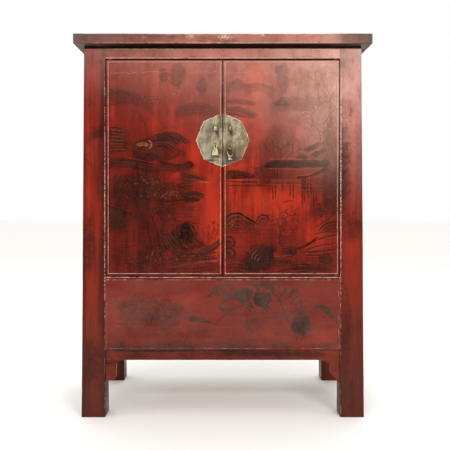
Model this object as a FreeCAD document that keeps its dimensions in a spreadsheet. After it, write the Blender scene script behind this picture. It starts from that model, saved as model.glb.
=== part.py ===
import FreeCAD, Part
import Sketcher
import math
import os

# A Chinese wedding cabinet in millimetres. +X is to the right, the doors face -Y and +Z is up.
# The origin is on the floor, under the middle of the cabinet.

doc = FreeCAD.newDocument("wedding_cabinet")

SIZES = (
    ("cabinet_width", 1100),
    ("cabinet_depth", 540),
    ("cabinet_height", 1420),
    ("overhang_front", 34),
    ("overhang_side", 34),
    ("overhang_rear", 12),
    # heights above the floor
    ("sill_height", 522),
    ("lower_panel_height", 250),
    ("apron_bottom_height", 210),
    ("shelf_height", 1018),
    ("drawer_floor_height", 886),
    # top board
    ("top_thickness", 38),
    ("top_end_width", 52),
    ("top_tongue_depth", 18),
    ("top_tongue_thickness", 12),
    # posts
    ("post_top_width", 79),
    ("post_foot_width", 88.5),
    ("post_depth", 70),
    ("post_bead_radius", 3),
    ("post_tenon_width", 36),
    ("post_tenon_depth", 24),
    ("post_tenon_height", 20),
    ("neck_height", 10),
    ("neck_setback", 5),
    # rails and their joints
    ("top_rail_height", 46.5),
    ("front_rail_thickness", 45),
    ("rear_rail_thickness", 45),
    ("side_rail_thickness", 50),
    ("side_rail_recess", 10),
    ("mid_rail_height", 40),
    ("bottom_rail_height", 40),
    ("tenon_thickness", 14),
    ("tenon_length", 34),
    ("tenon_shoulder", 8),
    ("side_tenon_length", 26),
    ("mortise_spare_depth", 1),
    # panels held in grooves
    ("panel_thickness", 12),
    ("panel_tongue", 10),
    ("back_board_gap", 0.5),
    ("back_groove_setback", 24),
    # sill, lower front panel, apron and spandrels
    ("sill_lip_thickness", 12),
    ("sill_depth", 62),
    ("lower_panel_thickness", 16),
    ("lower_panel_setback", 2),
    ("lower_panel_bead", 7),
    ("lower_panel_field_depth", 2),
    ("apron_setback", 8),
    ("apron_thickness", 16),
    ("spandrel_left_width", 58),
    ("spandrel_left_drop", 77),
    ("spandrel_right_width", 77),
    ("spandrel_right_drop", 86),
    # floor of the doors' compartment, with the hidden compartment under it
    ("floor_board_thickness", 18),
    ("floor_board_gap", 0.5),
    ("floor_notch_clearance", 1),
    ("lid_thickness", 16),
    ("lid_clearance", 1),
    ("lid_seat", 17),
    ("finger_hole_radius", 14),
    ("finger_hole_inset", 46),
    ("floor_bearer_width", 50),
    ("floor_bearer_height", 25),
    # battens behind, shelf and drawer case
    ("batten_thickness", 34),
    ("lower_batten_height", 56),
    ("upper_batten_height", 40),
    ("upper_batten_thickness", 22),
    ("shelf_thickness", 16),
    ("shelf_side_gap", 4),
    ("bearer_width", 32),
    ("bearer_height", 28),
    ("bearer_tenon_length", 15),
    ("case_setback", 70),
    ("case_back_space", 35),
    ("cheek_width", 54),
    ("divider_thickness", 18),
    # drawers
    ("drawer_clearance", 1.5),
    ("drawer_back_space", 37),
    ("drawer_front_thickness", 20),
    ("drawer_side_thickness", 10),
    ("drawer_side_drop", 15),
    ("drawer_bottom_thickness", 6),
    ("drawer_bottom_lift", 6),
    ("drawer_bottom_tongue", 4),
    ("drawer_lap", 12),
    # doors
    ("door_thickness", 24),
    ("door_setback", 2),
    ("door_side_gap", 3),
    ("door_top_gap", 6),
    ("door_bottom_gap", 5.5),
    ("door_bead_width", 9),
    ("door_bead_height", 1.6),
    ("door_bead_slope", 1.6),
    ("door_corner_radius", 4),
    ("stile_width", 55),
    ("door_top_rail_height", 46),
    ("door_bottom_rail_height", 54),
    ("door_panel_thickness", 17),
    ("door_tongue_thickness", 8),
    ("door_tongue_length", 10),
    ("door_tenon_length", 24),
    ("pivot_radius", 8),
    ("pivot_clearance", 0.5),
    ("pivot_side_inset", 12),
    ("pivot_face_inset", 9),
    ("top_pivot_length", 24),
    ("bottom_pivot_play", 0.3),
    ("bottom_socket_depth", 10),
    ("top_socket_spare", 2),
    # brass work
    ("plate_drop", 298.5),
    ("plate_tip_radius", 101),
    ("plate_thickness", 2),
    ("plate_seat_clearance", 1),
    ("loop_offset", 27),
    ("loop_rise", 44),
    ("loop_ring_radius", 8),
    ("loop_wire_radius", 2.8),
    ("staple_offset", 27.5),
    ("staple_drop", 18),
    ("staple_ring_radius", 4.4),
    ("staple_wire_radius", 1.6),
    ("staple_tail_length", 14),
    ("ring_standoff", 0.2),
    ("shank_clearance", 0.2),
    ("pull_ring_radius", 5.4),
    ("pull_wire_radius", 1.5),
    ("pull_thickness", 6),
    ("bell_height", 28),
    ("bell_width", 26),
    ("vase_height", 46),
    ("vase_width", 29),
    ("vase_wire_width", 5),
    # how far a cut runs past the wood that it leaves
    ("overrun", 2),
)

# Outlines as shares of a width and of a drop. A pair of points is an arc through the first.
SPANDREL_LEFT_SHARES = ((0, 0), (0, 1), (0.45, 0.98), ((0.60, 0.90), (0.67, 0.74)), (0.67, 0.24),
                        ((0.77, 0.08), (1, 0)))
SPANDREL_RIGHT_SHARES = ((0, 0), (0, 1), (0.10, 1), ((0.17, 0.84), (0.28, 0.74)),
                         ((0.40, 0.60), (0.44, 0.37)), ((0.47, 0.20), (0.56, 0.10)),
                         ((0.78, 0.03), (1, 0)))
BELL_SHARES = ((0.10, 0), ((0.15, 0.22), (0.26, 0.44)), ((0.38, 0.62), (0.46, 0.82)),
               ((0.50, 0.92), (0.44, 1)), (-0.44, 1), ((-0.50, 0.92), (-0.46, 0.82)),
               ((-0.38, 0.62), (-0.26, 0.44)), ((-0.15, 0.22), (-0.10, 0)))
VASE_SHARES = ((0.12, 0), ((0.42, 0.04), (0.50, 0.20)), ((0.44, 0.44), (0.30, 0.62)),
               ((0.22, 0.74), (0.24, 0.86)), ((0.28, 0.92), (0.33, 1)), (-0.33, 1),
               ((-0.28, 0.92), (-0.24, 0.86)), ((-0.22, 0.74), (-0.30, 0.62)),
               ((-0.44, 0.44), (-0.50, 0.20)), ((-0.42, 0.04), (-0.12, 0)))
VASE_OPENING_SHARES = ((0.06, 0), ((0.42, 0.02), (0.50, 0.14)), ((0.40, 0.34), (0.14, 0.56)),
                       (-0.14, 0.56), ((-0.40, 0.34), (-0.50, 0.14)), ((-0.42, 0.02), (-0.06, 0)))
# Half a lobe of the lock plate, from its tip: shares of its turn and of the tip radius.
LOBES = 8
FULL_TURN = 360
LOBE_FLICK_SHARES = (0.14, 0.966)
LOBE_SHOULDER_SHARES = (0.36, 0.945)
LOBE_SWELL_SHARES = (0.72, 0.935)
LOBE_NOTCH_SHARES = (1, 0.9)
# The shank of a staple is slimmer than its strip.
SHANK_SHARE = 0.8
# How far along its run a quarter round's crest lies from the corner that it rounds.
CREST_SHARE = 1 - math.sqrt(1 / 2)
BACK_BOARDS = 4
FLOOR_BOARDS = 3
LEFT = -1
RIGHT = 1
SIDE_NAMES = {LEFT: "left", RIGHT: "right"}


class Size:
    """A length that carries both its number and the formula that ties it to the sheet."""

    def __init__(self, value, formula):
        self.value = float(value)
        self.formula = formula

    def __add__(self, other):
        other = as_size(other)
        return Size(self.value + other.value, f"({self.formula} + {other.formula})")

    def __sub__(self, other):
        other = as_size(other)
        return Size(self.value - other.value, f"({self.formula} - {other.formula})")

    def __rsub__(self, other):
        return as_size(other) - self

    def __mul__(self, factor):
        return Size(self.value * factor, f"({self.formula} * {factor!r})")

    def __truediv__(self, divisor):
        return self * (1 / divisor)

    def __neg__(self):
        return self * -1

    __radd__ = __add__
    __rmul__ = __mul__


def as_size(length):
    """A plain zero becomes a size too, so that sums can start from it."""
    if isinstance(length, Size):
        return length
    return Size(length, repr(float(length)))


class Names:
    """Holds sizes under plain names."""


sheet = doc.addObject("Spreadsheet::Sheet", "sizes")
size = Names()
for row, (name, value) in enumerate(SIZES, start=1):
    sheet.set(f"A{row}", name.replace("_", " "))
    sheet.set(f"B{row}", str(value))
    sheet.setAlias(f"B{row}", name)
    setattr(size, name, Size(value, f"sizes.{name}"))
doc.recompute()

places = doc.addObject("App::VarSet", "places")
at = Names()


def place(name, length):
    """Keeps a worked-out place under its own name in the document."""
    places.addProperty("App::PropertyFloat", name)
    places.setExpression(name, length.formula)
    setattr(at, name, Size(length.value, f"places.{name}"))


def work_out_places():
    """The planes that several pieces share."""
    place("front_edge", -size.cabinet_depth / 2)
    place("rear_edge", size.cabinet_depth / 2)
    place("side_edge", size.cabinet_width / 2)
    place("inner", at.side_edge - size.overhang_side - size.post_top_width)
    place("top_underside", size.cabinet_height - size.top_thickness)
    place("doorway_top", at.top_underside - size.top_rail_height)
    place("post_face", at.front_edge + size.overhang_front)
    place("back_face", at.rear_edge - size.overhang_rear)
    place("front_post_back", at.post_face + size.post_depth)
    place("rear_post_front", at.back_face - size.post_depth)
    place("side_rail_outer", at.inner + size.post_top_width - size.side_rail_recess)
    place("side_rail_inner", at.side_rail_outer - size.side_rail_thickness)
    place("side_panel_outer", at.side_rail_outer - size.panel_thickness)
    place("side_panel_inner", at.side_panel_outer - size.panel_thickness)
    place("sill_bottom", size.sill_height - size.mid_rail_height)
    place("bottom_rail_bottom", size.lower_panel_height - size.bottom_rail_height)
    place("lower_panel_face", at.post_face + size.lower_panel_setback)
    place("lower_panel_back", at.lower_panel_face + size.lower_panel_thickness)
    place("sill_back", at.post_face + size.sill_depth)
    place("lip_underside", size.sill_height - size.sill_lip_thickness)
    place("apron_face", at.post_face + size.apron_setback)
    place("apron_back", at.apron_face + size.apron_thickness)
    place("back_groove_front", at.back_face - size.back_groove_setback - size.panel_thickness)
    place("back_groove_rear", at.back_face - size.back_groove_setback)
    place("lid_top", size.sill_height - size.lid_clearance)
    place("lid_underside", at.lid_top - size.lid_thickness)
    place("door_face", at.post_face + size.door_setback)
    place("door_back", at.door_face + size.door_thickness)
    place("door_outer", at.inner - size.door_side_gap)
    place("door_meeting", size.door_side_gap / 2)
    place("door_top", at.doorway_top - size.door_top_gap)
    place("door_bottom", size.sill_height + size.door_bottom_gap)
    place("pivot_x", at.door_outer - size.pivot_side_inset)
    place("pivot_y", at.door_face + size.pivot_face_inset)
    place("plate_face", at.door_face - size.plate_thickness)
    place("plate_centre", at.door_top - size.plate_drop)
    place("loop_height", at.plate_centre + size.loop_rise)
    place("staple_height", at.plate_centre - size.staple_drop)
    place("case_front", at.door_back + size.case_setback)
    place("case_back", at.back_groove_front - size.case_back_space)
    place("cheek_inner", at.inner - size.cheek_width)
    place("shelf_underside", size.shelf_height - size.shelf_thickness)
    place("drawer_floor_underside", size.drawer_floor_height - size.shelf_thickness)
    place("drawer_outer", at.cheek_inner - size.drawer_clearance)
    place("drawer_inner", size.divider_thickness / 2 + size.drawer_clearance)
    place("drawer_back", at.case_back - size.drawer_back_space)
    place("drawer_top", at.shelf_underside - size.drawer_clearance)
    place("drawer_middle", (at.drawer_outer + at.drawer_inner) / 2)
    place("drawer_handle_height", (at.drawer_top + size.drawer_floor_height) / 2
          + size.bell_height / 2)
    doc.recompute()


def across(side, near, far):
    """The X range of something between two distances from the middle, on one side."""
    if side == RIGHT:
        return near, far
    return -far, -near


def middle_band(centre, width):
    """A range of a given width about its centre."""
    return centre - width / 2, centre + width / 2


def block(name, x_range, y_range, z_range):
    """A squared piece of wood between six planes."""
    piece = doc.addObject("Part::Box", name)
    for axis, side, (low, high) in zip("xyz", ("Length", "Width", "Height"),
                                       (x_range, y_range, z_range)):
        low = as_size(low)
        piece.setExpression(side, (high - low).formula)
        piece.setExpression(f"Placement.Base.{axis}", low.formula)
    return piece


def joined(name, pieces):
    """Several blocks that are one piece of wood."""
    if len(pieces) == 1:
        return pieces[0]
    whole = doc.addObject("Part::MultiFuse", name)
    whole.Shapes = pieces
    whole.Refine = True
    return whole


def without(name, whole, cutters):
    """A piece with its mortises, grooves or notches taken out."""
    if not cutters:
        return whole
    rest = doc.addObject("Part::Cut", name)
    rest.Base = whole
    rest.Tool = joined(f"{name}_cutters", cutters)
    return rest


def board(name, solid, tenons=(), cuts=()):
    """A squared board from its ranges, with blocks added as tenons and others cut away."""
    blocks = [block(f"{name}_block{number}", *ranges)
              for number, ranges in enumerate((solid, *tenons))]
    cutters = [block(f"{name}_cutter{number}", *ranges) for number, ranges in enumerate(cuts)]
    return without(f"{name}_cut", joined(f"{name}_whole", blocks), cutters)


ROLES = {"X": "YZ_Plane", "Y": "XZ_Plane", "Z": "XY_Plane"}


def new_body(name):
    return doc.addObject("PartDesign::Body", name)


def sketch_across(body, name, axis, plane_place):
    """A sketch square to an axis, at a place along it. The XZ plane faces -Y."""
    sketch = body.newObject("Sketcher::SketchObject", name)
    plane = next(item for item in body.Origin.OriginFeatures if item.Role == ROLES[axis])
    sketch.AttachmentSupport = [(plane, "")]
    sketch.MapMode = "FlatFace"
    offset = -plane_place if axis == "Y" else as_size(plane_place)
    sketch.setExpression("AttachmentOffset.Base.z", offset.formula)
    return sketch


def flat(point):
    return FreeCAD.Vector(as_size(point[0]).value, as_size(point[1]).value, 0)


def pin_point(sketch, geometry, end, point):
    """Ties one point of a sketch to its two sizes."""
    for direction, length in zip(("DistanceX", "DistanceY"), point):
        length = as_size(length)
        number = sketch.addConstraint(
            Sketcher.Constraint(direction, -1, 1, geometry, end, length.value))
        sketch.setExpression(f"Constraints[{number}]", length.formula)


def draw_outline(sketch, outline):
    """Draws a closed outline. A step is a point, or an arc as (point on the way, end)."""
    start = outline[0]
    here = start
    edges = []
    for step in (*outline[1:], start):
        is_arc = isinstance(step[0], tuple)
        end = step[1] if is_arc else step
        if flat(here).isEqual(flat(end), 1e-6):
            continue
        if is_arc:
            curve = Part.Arc(flat(here), flat(step[0]), flat(end))
            edge = sketch.addGeometry(curve)
            forward = sketch.getPoint(edge, 1).isEqual(flat(here), 1e-4)
            edges.append((edge, 1, 2) if forward else (edge, 2, 1))
            crest = sketch.addGeometry(Part.Point(flat(step[0])), True)
            pin_point(sketch, crest, 1, step[0])
            sketch.addConstraint(Sketcher.Constraint("PointOnObject", crest, 1, edge))
        else:
            edge = sketch.addGeometry(Part.LineSegment(flat(here), flat(end)))
            edges.append((edge, 1, 2))
        pin_point(sketch, edge, edges[-1][2], end)
        here = end
    for (edge, first, last), (following, begin, finish) in zip(edges, edges[1:] + edges[:1]):
        sketch.addConstraint(Sketcher.Constraint("Coincident", edge, last, following, begin))


def from_shares(shares, corner, width, drop):
    """An outline from its table of shares, measured across and down from a corner."""
    def spot(point):
        return corner[0] + width * point[0], corner[1] - drop * point[1]

    return tuple((spot(step[0]), spot(step[1])) if isinstance(step[0], tuple) else spot(step)
                 for step in shares)


def rectangle(across_range, up_range):
    (left, right), (low, high) = across_range, up_range
    return ((left, low), (right, low), (right, high), (left, high))


def circle(centre, radius):
    """A circle as two arcs, which the outline helper ties to its sizes."""
    across_place, up_place = centre
    right = (across_place + radius, up_place)
    left = (across_place - radius, up_place)
    return (right, ((across_place, up_place + radius), left),
            ((across_place, up_place - radius), right))


def add_feature(body, name, kind, axis, outline, along):
    """Pads or pockets an outline between two places along an axis."""
    low, high = along
    pads = kind == "Pad"
    starts_high = pads == (axis == "Y")
    sketch = sketch_across(body, f"{name}_sketch", axis, high if starts_high else low)
    draw_outline(sketch, outline)
    feature = body.newObject(f"PartDesign::{kind}", name)
    feature.Profile = sketch
    feature.setExpression("Length", (high - as_size(low)).formula)
    return feature


def pad(body, name, axis, outline, along):
    return add_feature(body, name, "Pad", axis, outline, along)


def pocket(body, name, axis, outline, along):
    """A pocket cuts away from the side that its sketch faces."""
    low, high = along
    sketch = sketch_across(body, f"{name}_sketch", axis, low if axis == "Y" else high)
    draw_outline(sketch, outline)
    feature = body.newObject("PartDesign::Pocket", name)
    feature.Profile = sketch
    feature.setExpression("Length", (as_size(high) - low).formula)
    return feature


def mirrored(name, piece):
    """The same piece for the other side of the cabinet."""
    other = doc.addObject("Part::Mirroring", name)
    other.Source = piece
    other.Normal = (1, 0, 0)
    return other


def group(name, members):
    """Several like pieces kept under one name, each its own solid."""
    bundle = doc.addObject("Part::Compound", name)
    bundle.Links = members
    return bundle


nodes = {}


def finish(node, piece):
    """Names a sub-part. The label is the name of its file."""
    piece.Label = node
    nodes[node] = piece


# The top: a plank between two end clamps, each grooved over the plank's tongue.

def post_tenon(side, post_front):
    """The stub on top of a post, and the mortise for it under the plank."""
    x_range = middle_band(side * (at.inner + size.post_top_width / 2), size.post_tenon_width)
    y_range = middle_band(post_front + size.post_depth / 2, size.post_tenon_depth)
    return x_range, y_range


def build_top():
    depth = (at.front_edge, at.rear_edge)
    plank_end = at.side_edge - size.top_end_width
    tongue_end = plank_end + size.top_tongue_depth
    heights = (at.top_underside, size.cabinet_height)
    tongue_heights = middle_band(at.top_underside + size.top_thickness / 2,
                                 size.top_tongue_thickness)
    mortises = []
    for side in (LEFT, RIGHT):
        for post_front in (at.post_face, at.rear_post_front):
            x_range, y_range = post_tenon(side, post_front)
            mortise_top = at.top_underside + size.post_tenon_height + size.mortise_spare_depth
            mortises.append((x_range, y_range, (at.top_underside - size.overrun, mortise_top)))
    plank = board("plank", ((-plank_end, plank_end), depth, heights),
                  tenons=[((-tongue_end, tongue_end), depth, tongue_heights)], cuts=mortises)
    finish("top_board", plank)
    for side in (LEFT, RIGHT):
        name = f"top_end_{SIDE_NAMES[side]}"
        groove = (across(side, plank_end - size.overrun, tongue_end),
                  (at.front_edge - size.overrun, at.rear_edge + size.overrun), tongue_heights)
        clamp = board(name, (across(side, plank_end, at.side_edge), depth, heights),
                      cuts=[groove])
        finish(name, clamp)


# Rails. Each front or rear rail has a tenon at both ends, each side rail one into each post.

def rail_tenon_heights(bottom, top):
    return bottom + size.tenon_shoulder, top - size.tenon_shoulder


def front_tenon_depths():
    """Front tenons stand just behind the groove of the lower panel."""
    return at.lower_panel_back, at.lower_panel_back + size.tenon_thickness


def rear_tenon_depths():
    """Rear tenons stand behind the groove of the back boards."""
    return at.back_groove_rear, at.back_groove_rear + size.tenon_thickness


def side_tenon_places():
    """Side tenons share their outer plane with the side panels."""
    return at.side_panel_outer - size.tenon_thickness, at.side_panel_outer


def heights_of(level):
    """Bottom and top of the rails at each level of the frame."""
    return {
        "top": (at.doorway_top, at.top_underside),
        "middle": (at.sill_bottom, size.sill_height),
        "bottom": (at.bottom_rail_bottom, size.lower_panel_height),
    }[level]


def long_tenon(level, depths):
    reach = at.inner + size.tenon_length
    return (-reach, reach), depths, rail_tenon_heights(*heights_of(level))


def build_top_rail_front():
    """The rail over the doors, cut back at its top to a neck and bored for the top pivots."""
    name = "top_rail_front"
    body = new_body(name)
    low, high = heights_of("top")
    back = at.post_face + size.front_rail_thickness
    neck_front = at.post_face + size.neck_setback
    neck_low = high - size.neck_height
    profile = ((at.post_face, low), (back, low), (back, high), (neck_front, high),
               (neck_front, neck_low), (at.post_face, neck_low))
    pad(body, f"{name}_profile", "X", profile, (-at.inner, at.inner))
    x_range, y_range, z_range = long_tenon("top", front_tenon_depths())
    pad(body, f"{name}_tenons", "X", rectangle(y_range, z_range), x_range)
    socket_top = at.door_top + size.top_pivot_length + size.top_socket_spare
    for side in (LEFT, RIGHT):
        hole = circle((side * at.pivot_x, at.pivot_y), size.pivot_radius + size.pivot_clearance)
        pocket(body, f"{name}_socket_{SIDE_NAMES[side]}", "Z", hole, (low - size.overrun, socket_top))
    finish(name, body)


def build_door_sill_rail():
    """The sill under the doors: a thin lip over the lower panel, with the bottom sockets,
    and a rabbet behind, which carries the lids."""
    name = "door_sill_rail"
    body = new_body(name)
    top = size.sill_height
    lid_edge = at.sill_back - size.lid_thickness
    profile = ((at.post_face, at.lip_underside), (at.lower_panel_back, at.lip_underside),
               (at.lower_panel_back, at.sill_bottom), (at.sill_back, at.sill_bottom),
               (at.sill_back, at.lid_underside), (lid_edge, at.lid_underside),
               (lid_edge, top), (at.post_face, top))
    pad(body, f"{name}_profile", "X", profile, (-at.inner, at.inner))
    x_range, y_range, z_range = long_tenon("middle", front_tenon_depths())
    tenon_heights = (z_range[0], at.lip_underside - size.tenon_shoulder)
    pad(body, f"{name}_tenons", "X", rectangle(y_range, tenon_heights), x_range)
    socket_floor = top - size.bottom_socket_depth
    for side in (LEFT, RIGHT):
        hole = circle((side * at.pivot_x, at.pivot_y), size.pivot_radius + size.pivot_clearance)
        pocket(body, f"{name}_socket_{SIDE_NAMES[side]}", "Z", hole,
               (socket_floor, top + size.overrun))
    bearer = rectangle(bearer_mortise_width(), (at.lid_underside - size.floor_bearer_height,
                                                at.lid_underside))
    pocket(body, f"{name}_bearer_mortise", "Y", bearer,
           (at.sill_back - size.bearer_tenon_length, at.sill_back + size.overrun))
    finish(name, body)


def bearer_mortise_width():
    return middle_band(as_size(0), size.floor_bearer_width - 2 * size.tenon_shoulder)


def build_plain_long_rails():
    """The rails along X at the back, and the bottom one in front."""
    rear_depths = (at.back_face - size.rear_rail_thickness, at.back_face)
    grooves = {
        "top": (at.doorway_top - size.overrun,
                at.doorway_top + size.panel_tongue),
        "bottom": (size.lower_panel_height - size.panel_tongue,
                   size.lower_panel_height + size.overrun),
    }
    for level, groove_heights in grooves.items():
        name = f"{level}_rail_rear"
        groove = ((-at.inner - size.overrun, at.inner + size.overrun),
                  (at.back_groove_front, at.back_groove_rear), groove_heights)
        rail = board(name, ((-at.inner, at.inner), rear_depths, heights_of(level)),
                     tenons=[long_tenon(level, rear_tenon_depths())], cuts=[groove])
        finish(name, rail)
    name = "bottom_rail_front"
    front_depths = (at.apron_back, at.apron_back + size.front_rail_thickness)
    rail = board(name, ((-at.inner, at.inner), front_depths, heights_of("bottom")),
                 tenons=[long_tenon("bottom", front_tenon_depths_low())])
    finish(name, rail)


def front_tenon_depths_low():
    """The bottom front rail stands further back, and so do its tenons."""
    return at.apron_back, at.apron_back + size.tenon_thickness


def side_tenon_heights(level):
    """Side tenons keep clear of the panels' corners, which run on into the posts."""
    low, high = heights_of(level)
    if level == "top":
        return low + size.panel_tongue, high - size.tenon_shoulder
    return low + size.tenon_shoulder, high - size.panel_tongue


def side_tenon_range():
    return (at.front_post_back - size.side_tenon_length,
            at.rear_post_front + size.side_tenon_length)


def build_side_rails():
    """Top and bottom side rails are grooved for the panels."""
    between_posts = (at.front_post_back, at.rear_post_front)
    grooves = {
        "top": (at.doorway_top - size.overrun,
                at.doorway_top + size.panel_tongue),
        "bottom": (size.lower_panel_height - size.panel_tongue,
                   size.lower_panel_height + size.overrun),
    }
    for side in (LEFT, RIGHT):
        for level, groove_heights in grooves.items():
            name = f"{level}_rail_{SIDE_NAMES[side]}"
            groove = (across(side, at.side_panel_inner, at.side_panel_outer),
                      (at.front_post_back - size.overrun, at.rear_post_front + size.overrun),
                      groove_heights)
            tenon = (across(side, *side_tenon_places()), side_tenon_range(),
                     side_tenon_heights(level))
            rail = board(name, (across(side, at.side_rail_inner, at.side_rail_outer),
                                between_posts, heights_of(level)), tenons=[tenon], cuts=[groove])
            finish(name, rail)


def build_side_mid_rails():
    """Wide rails at the height of the sill, with a ledge inside for the lids' ends."""
    ledge = at.inner - size.lid_seat
    lid_end = at.inner - size.lid_clearance
    top = size.sill_height
    groove_low = at.sill_bottom + size.panel_tongue
    groove_high = top - size.panel_tongue
    profile = ((at.side_rail_outer, at.sill_bottom), (at.side_rail_outer, top),
               (at.side_panel_outer, top), (at.side_panel_outer, groove_high),
               (at.side_panel_inner, groove_high), (at.side_panel_inner, top), (lid_end, top),
               (lid_end, at.lid_underside), (ledge, at.lid_underside), (ledge, at.sill_bottom),
               (at.side_panel_inner, at.sill_bottom), (at.side_panel_inner, groove_low),
               (at.side_panel_outer, groove_low), (at.side_panel_outer, at.sill_bottom))
    body = new_body("side_mid_rail")
    pad(body, "side_mid_rail_profile", "Y", profile, (at.front_post_back, at.rear_post_front))
    tenon = rectangle(side_tenon_places(), (groove_low, groove_high))
    pad(body, "side_mid_rail_tenons", "Y", tenon, side_tenon_range())
    finish("side_mid_rail_right", body)
    finish("side_mid_rail_left", mirrored("side_mid_rail_mirrored", body))


# Posts. Their inner faces are upright and their outer faces splay towards the feet.

def post_mortises(front):
    """The mortises and grooves of a right-hand post, as ranges."""
    spare = size.mortise_spare_depth
    post_back = at.front_post_back if front else at.back_face
    inner_reach = (at.inner - size.overrun, at.inner + size.tenon_length + spare)
    panel_reach = (at.inner - size.overrun, at.inner + size.panel_tongue)
    full_height = (size.lower_panel_height - size.panel_tongue,
                   at.doorway_top + size.panel_tongue)
    if front:
        side_reach = (post_back - size.side_tenon_length - spare, post_back + size.overrun)
        groove_reach = (post_back - size.panel_tongue, post_back + size.overrun)
        bearer_reach = (post_back - size.bearer_tenon_length - spare, post_back + size.overrun)
        sill_tenon = (heights_of("middle")[0] + size.tenon_shoulder,
                      at.lip_underside - size.tenon_shoulder)
        cuts = [
            (inner_reach, front_tenon_depths(), rail_tenon_heights(*heights_of("top"))),
            (inner_reach, front_tenon_depths(), sill_tenon),
            (inner_reach, front_tenon_depths_low(), rail_tenon_heights(*heights_of("bottom"))),
            (panel_reach, (at.lower_panel_face, at.lower_panel_back),
             (size.lower_panel_height, at.lip_underside)),
        ]
    else:
        front_face = at.rear_post_front
        side_reach = (front_face - size.overrun, front_face + size.side_tenon_length + spare)
        groove_reach = (front_face - size.overrun, front_face + size.panel_tongue)
        bearer_reach = (front_face - size.overrun, front_face + size.bearer_tenon_length + spare)
        cuts = [
            (inner_reach, rear_tenon_depths(), rail_tenon_heights(*heights_of("top"))),
            (inner_reach, rear_tenon_depths(), rail_tenon_heights(*heights_of("bottom"))),
            (panel_reach, (at.back_groove_front, at.back_groove_rear), full_height),
        ]
        for batten_heights in batten_levels():
            cuts.append((inner_reach, batten_tenon_depths(), rail_tenon_heights(*batten_heights)))
    mid_heights = (at.sill_bottom + size.panel_tongue, size.sill_height - size.panel_tongue)
    cuts += [
        (side_tenon_places(), side_reach, side_tenon_heights("top")),
        (side_tenon_places(), side_reach, mid_heights),
        (side_tenon_places(), side_reach, side_tenon_heights("bottom")),
        ((at.side_panel_inner, at.side_panel_outer), groove_reach, full_height),
    ]
    for underside in (at.shelf_underside, at.drawer_floor_underside):
        cuts.append((bearer_tenon_places(), bearer_reach, bearer_tenon_heights(underside)))
    return cuts


def build_posts():
    for row, front_face in (("front", at.post_face), ("rear", at.rear_post_front)):
        name = f"post_{row}"
        body = new_body(name)
        outline = ((at.inner, as_size(0)), (at.inner + size.post_foot_width, as_size(0)),
                   (at.inner + size.post_top_width, at.top_underside),
                   (at.inner, at.top_underside))
        pad(body, f"{name}_shaft", "Y", outline, (front_face, front_face + size.post_depth))
        x_range, y_range = post_tenon(RIGHT, front_face)
        tenon_top = at.top_underside + size.post_tenon_height
        pad(body, f"{name}_tenon", "Z", rectangle(x_range, y_range),
            (at.top_underside - size.overrun, tenon_top))
        if row == "front":
            cut_post_front(body)
        cutters = [block(f"{name}_mortise{number}", *ranges)
                   for number, ranges in enumerate(post_mortises(row == "front"))]
        right = without(f"{name}_joined", body, cutters)
        finish(f"{name}_right", right)
        finish(f"{name}_left", mirrored(f"{name}_mirrored", right))


def cut_post_front(body):
    """The neck under the top board, and the bead that rounds the arris beside the doors."""
    neck_low = at.top_underside - size.neck_height
    outer = at.inner + size.post_foot_width
    neck = rectangle((at.inner - size.overrun, outer), (neck_low, at.top_underside))
    pocket(body, "post_front_neck", "Y", neck,
           (at.post_face - size.overrun, at.post_face + size.neck_setback))
    radius = size.post_bead_radius
    corner = ((at.inner - size.overrun, at.post_face - size.overrun),
              (at.inner + radius, at.post_face - size.overrun),
              (at.inner + radius, at.post_face),
              ((at.inner + radius * CREST_SHARE, at.post_face + radius * CREST_SHARE),
               (at.inner, at.post_face + radius)),
              (at.inner - size.overrun, at.post_face + radius))
    pocket(body, "post_front_bead", "Z", corner, (as_size(0), neck_low))


# Battens and bearers inside the carcass.

def batten_levels():
    lower_top = at.lid_top
    upper_top = at.shelf_underside - size.upper_batten_height
    return ((lower_top - size.lower_batten_height, at.lid_underside),
            (upper_top - size.upper_batten_height, upper_top))


def batten_tenon_depths():
    """Batten tenons stand in front of the groove of the back boards."""
    return at.back_groove_front - size.tenon_thickness, at.back_groove_front


def build_back_battens():
    """Two battens across the back boards. The lower one carries the lids in a rabbet."""
    lower, upper = batten_levels()
    reach = at.inner + size.tenon_length
    front = at.back_groove_front - size.batten_thickness
    seat = front + size.lid_seat
    body = new_body("lower_batten")
    profile = ((front, lower[0]), (at.back_groove_front, lower[0]),
               (at.back_groove_front, at.lid_top), (seat, at.lid_top),
               (seat, at.lid_underside), (front, at.lid_underside))
    pad(body, "lower_batten_profile", "X", profile, (-at.inner, at.inner))
    tenon = rectangle(batten_tenon_depths(), rail_tenon_heights(*lower))
    pad(body, "lower_batten_tenons", "X", tenon, (-reach, reach))
    mortise = rectangle(bearer_mortise_width(), (at.lid_underside - size.floor_bearer_height,
                                                 at.lid_underside))
    pocket(body, "lower_batten_mortise", "Y", mortise,
           (front - size.overrun, front + size.bearer_tenon_length))
    depths = (at.back_groove_front - size.upper_batten_thickness, at.back_groove_front)
    tenons = ((-reach, reach), batten_tenon_depths(), rail_tenon_heights(*upper))
    plain = board("upper_batten", ((-at.inner, at.inner), depths, upper), tenons=[tenons])
    finish("back_battens", group("battens", [body, plain]))


def build_floor_bearer():
    """Runs front to back under the joint of the two lids."""
    front = at.sill_back
    back = at.back_groove_front - size.batten_thickness
    heights = (at.lid_underside - size.floor_bearer_height, at.lid_underside)
    tenon = (bearer_mortise_width(),
             (front - size.bearer_tenon_length, back + size.bearer_tenon_length), heights)
    bearer = board("floor_bearer", (middle_band(as_size(0), size.floor_bearer_width),
                                    (front, back), heights), tenons=[tenon])
    finish("floor_bearer", bearer)


def bearer_places():
    outer = at.side_panel_inner - size.shelf_side_gap
    return outer - size.bearer_width, outer


def bearer_tenon_places():
    near, far = bearer_places()
    return near + size.tenon_shoulder, far - size.tenon_shoulder


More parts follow.
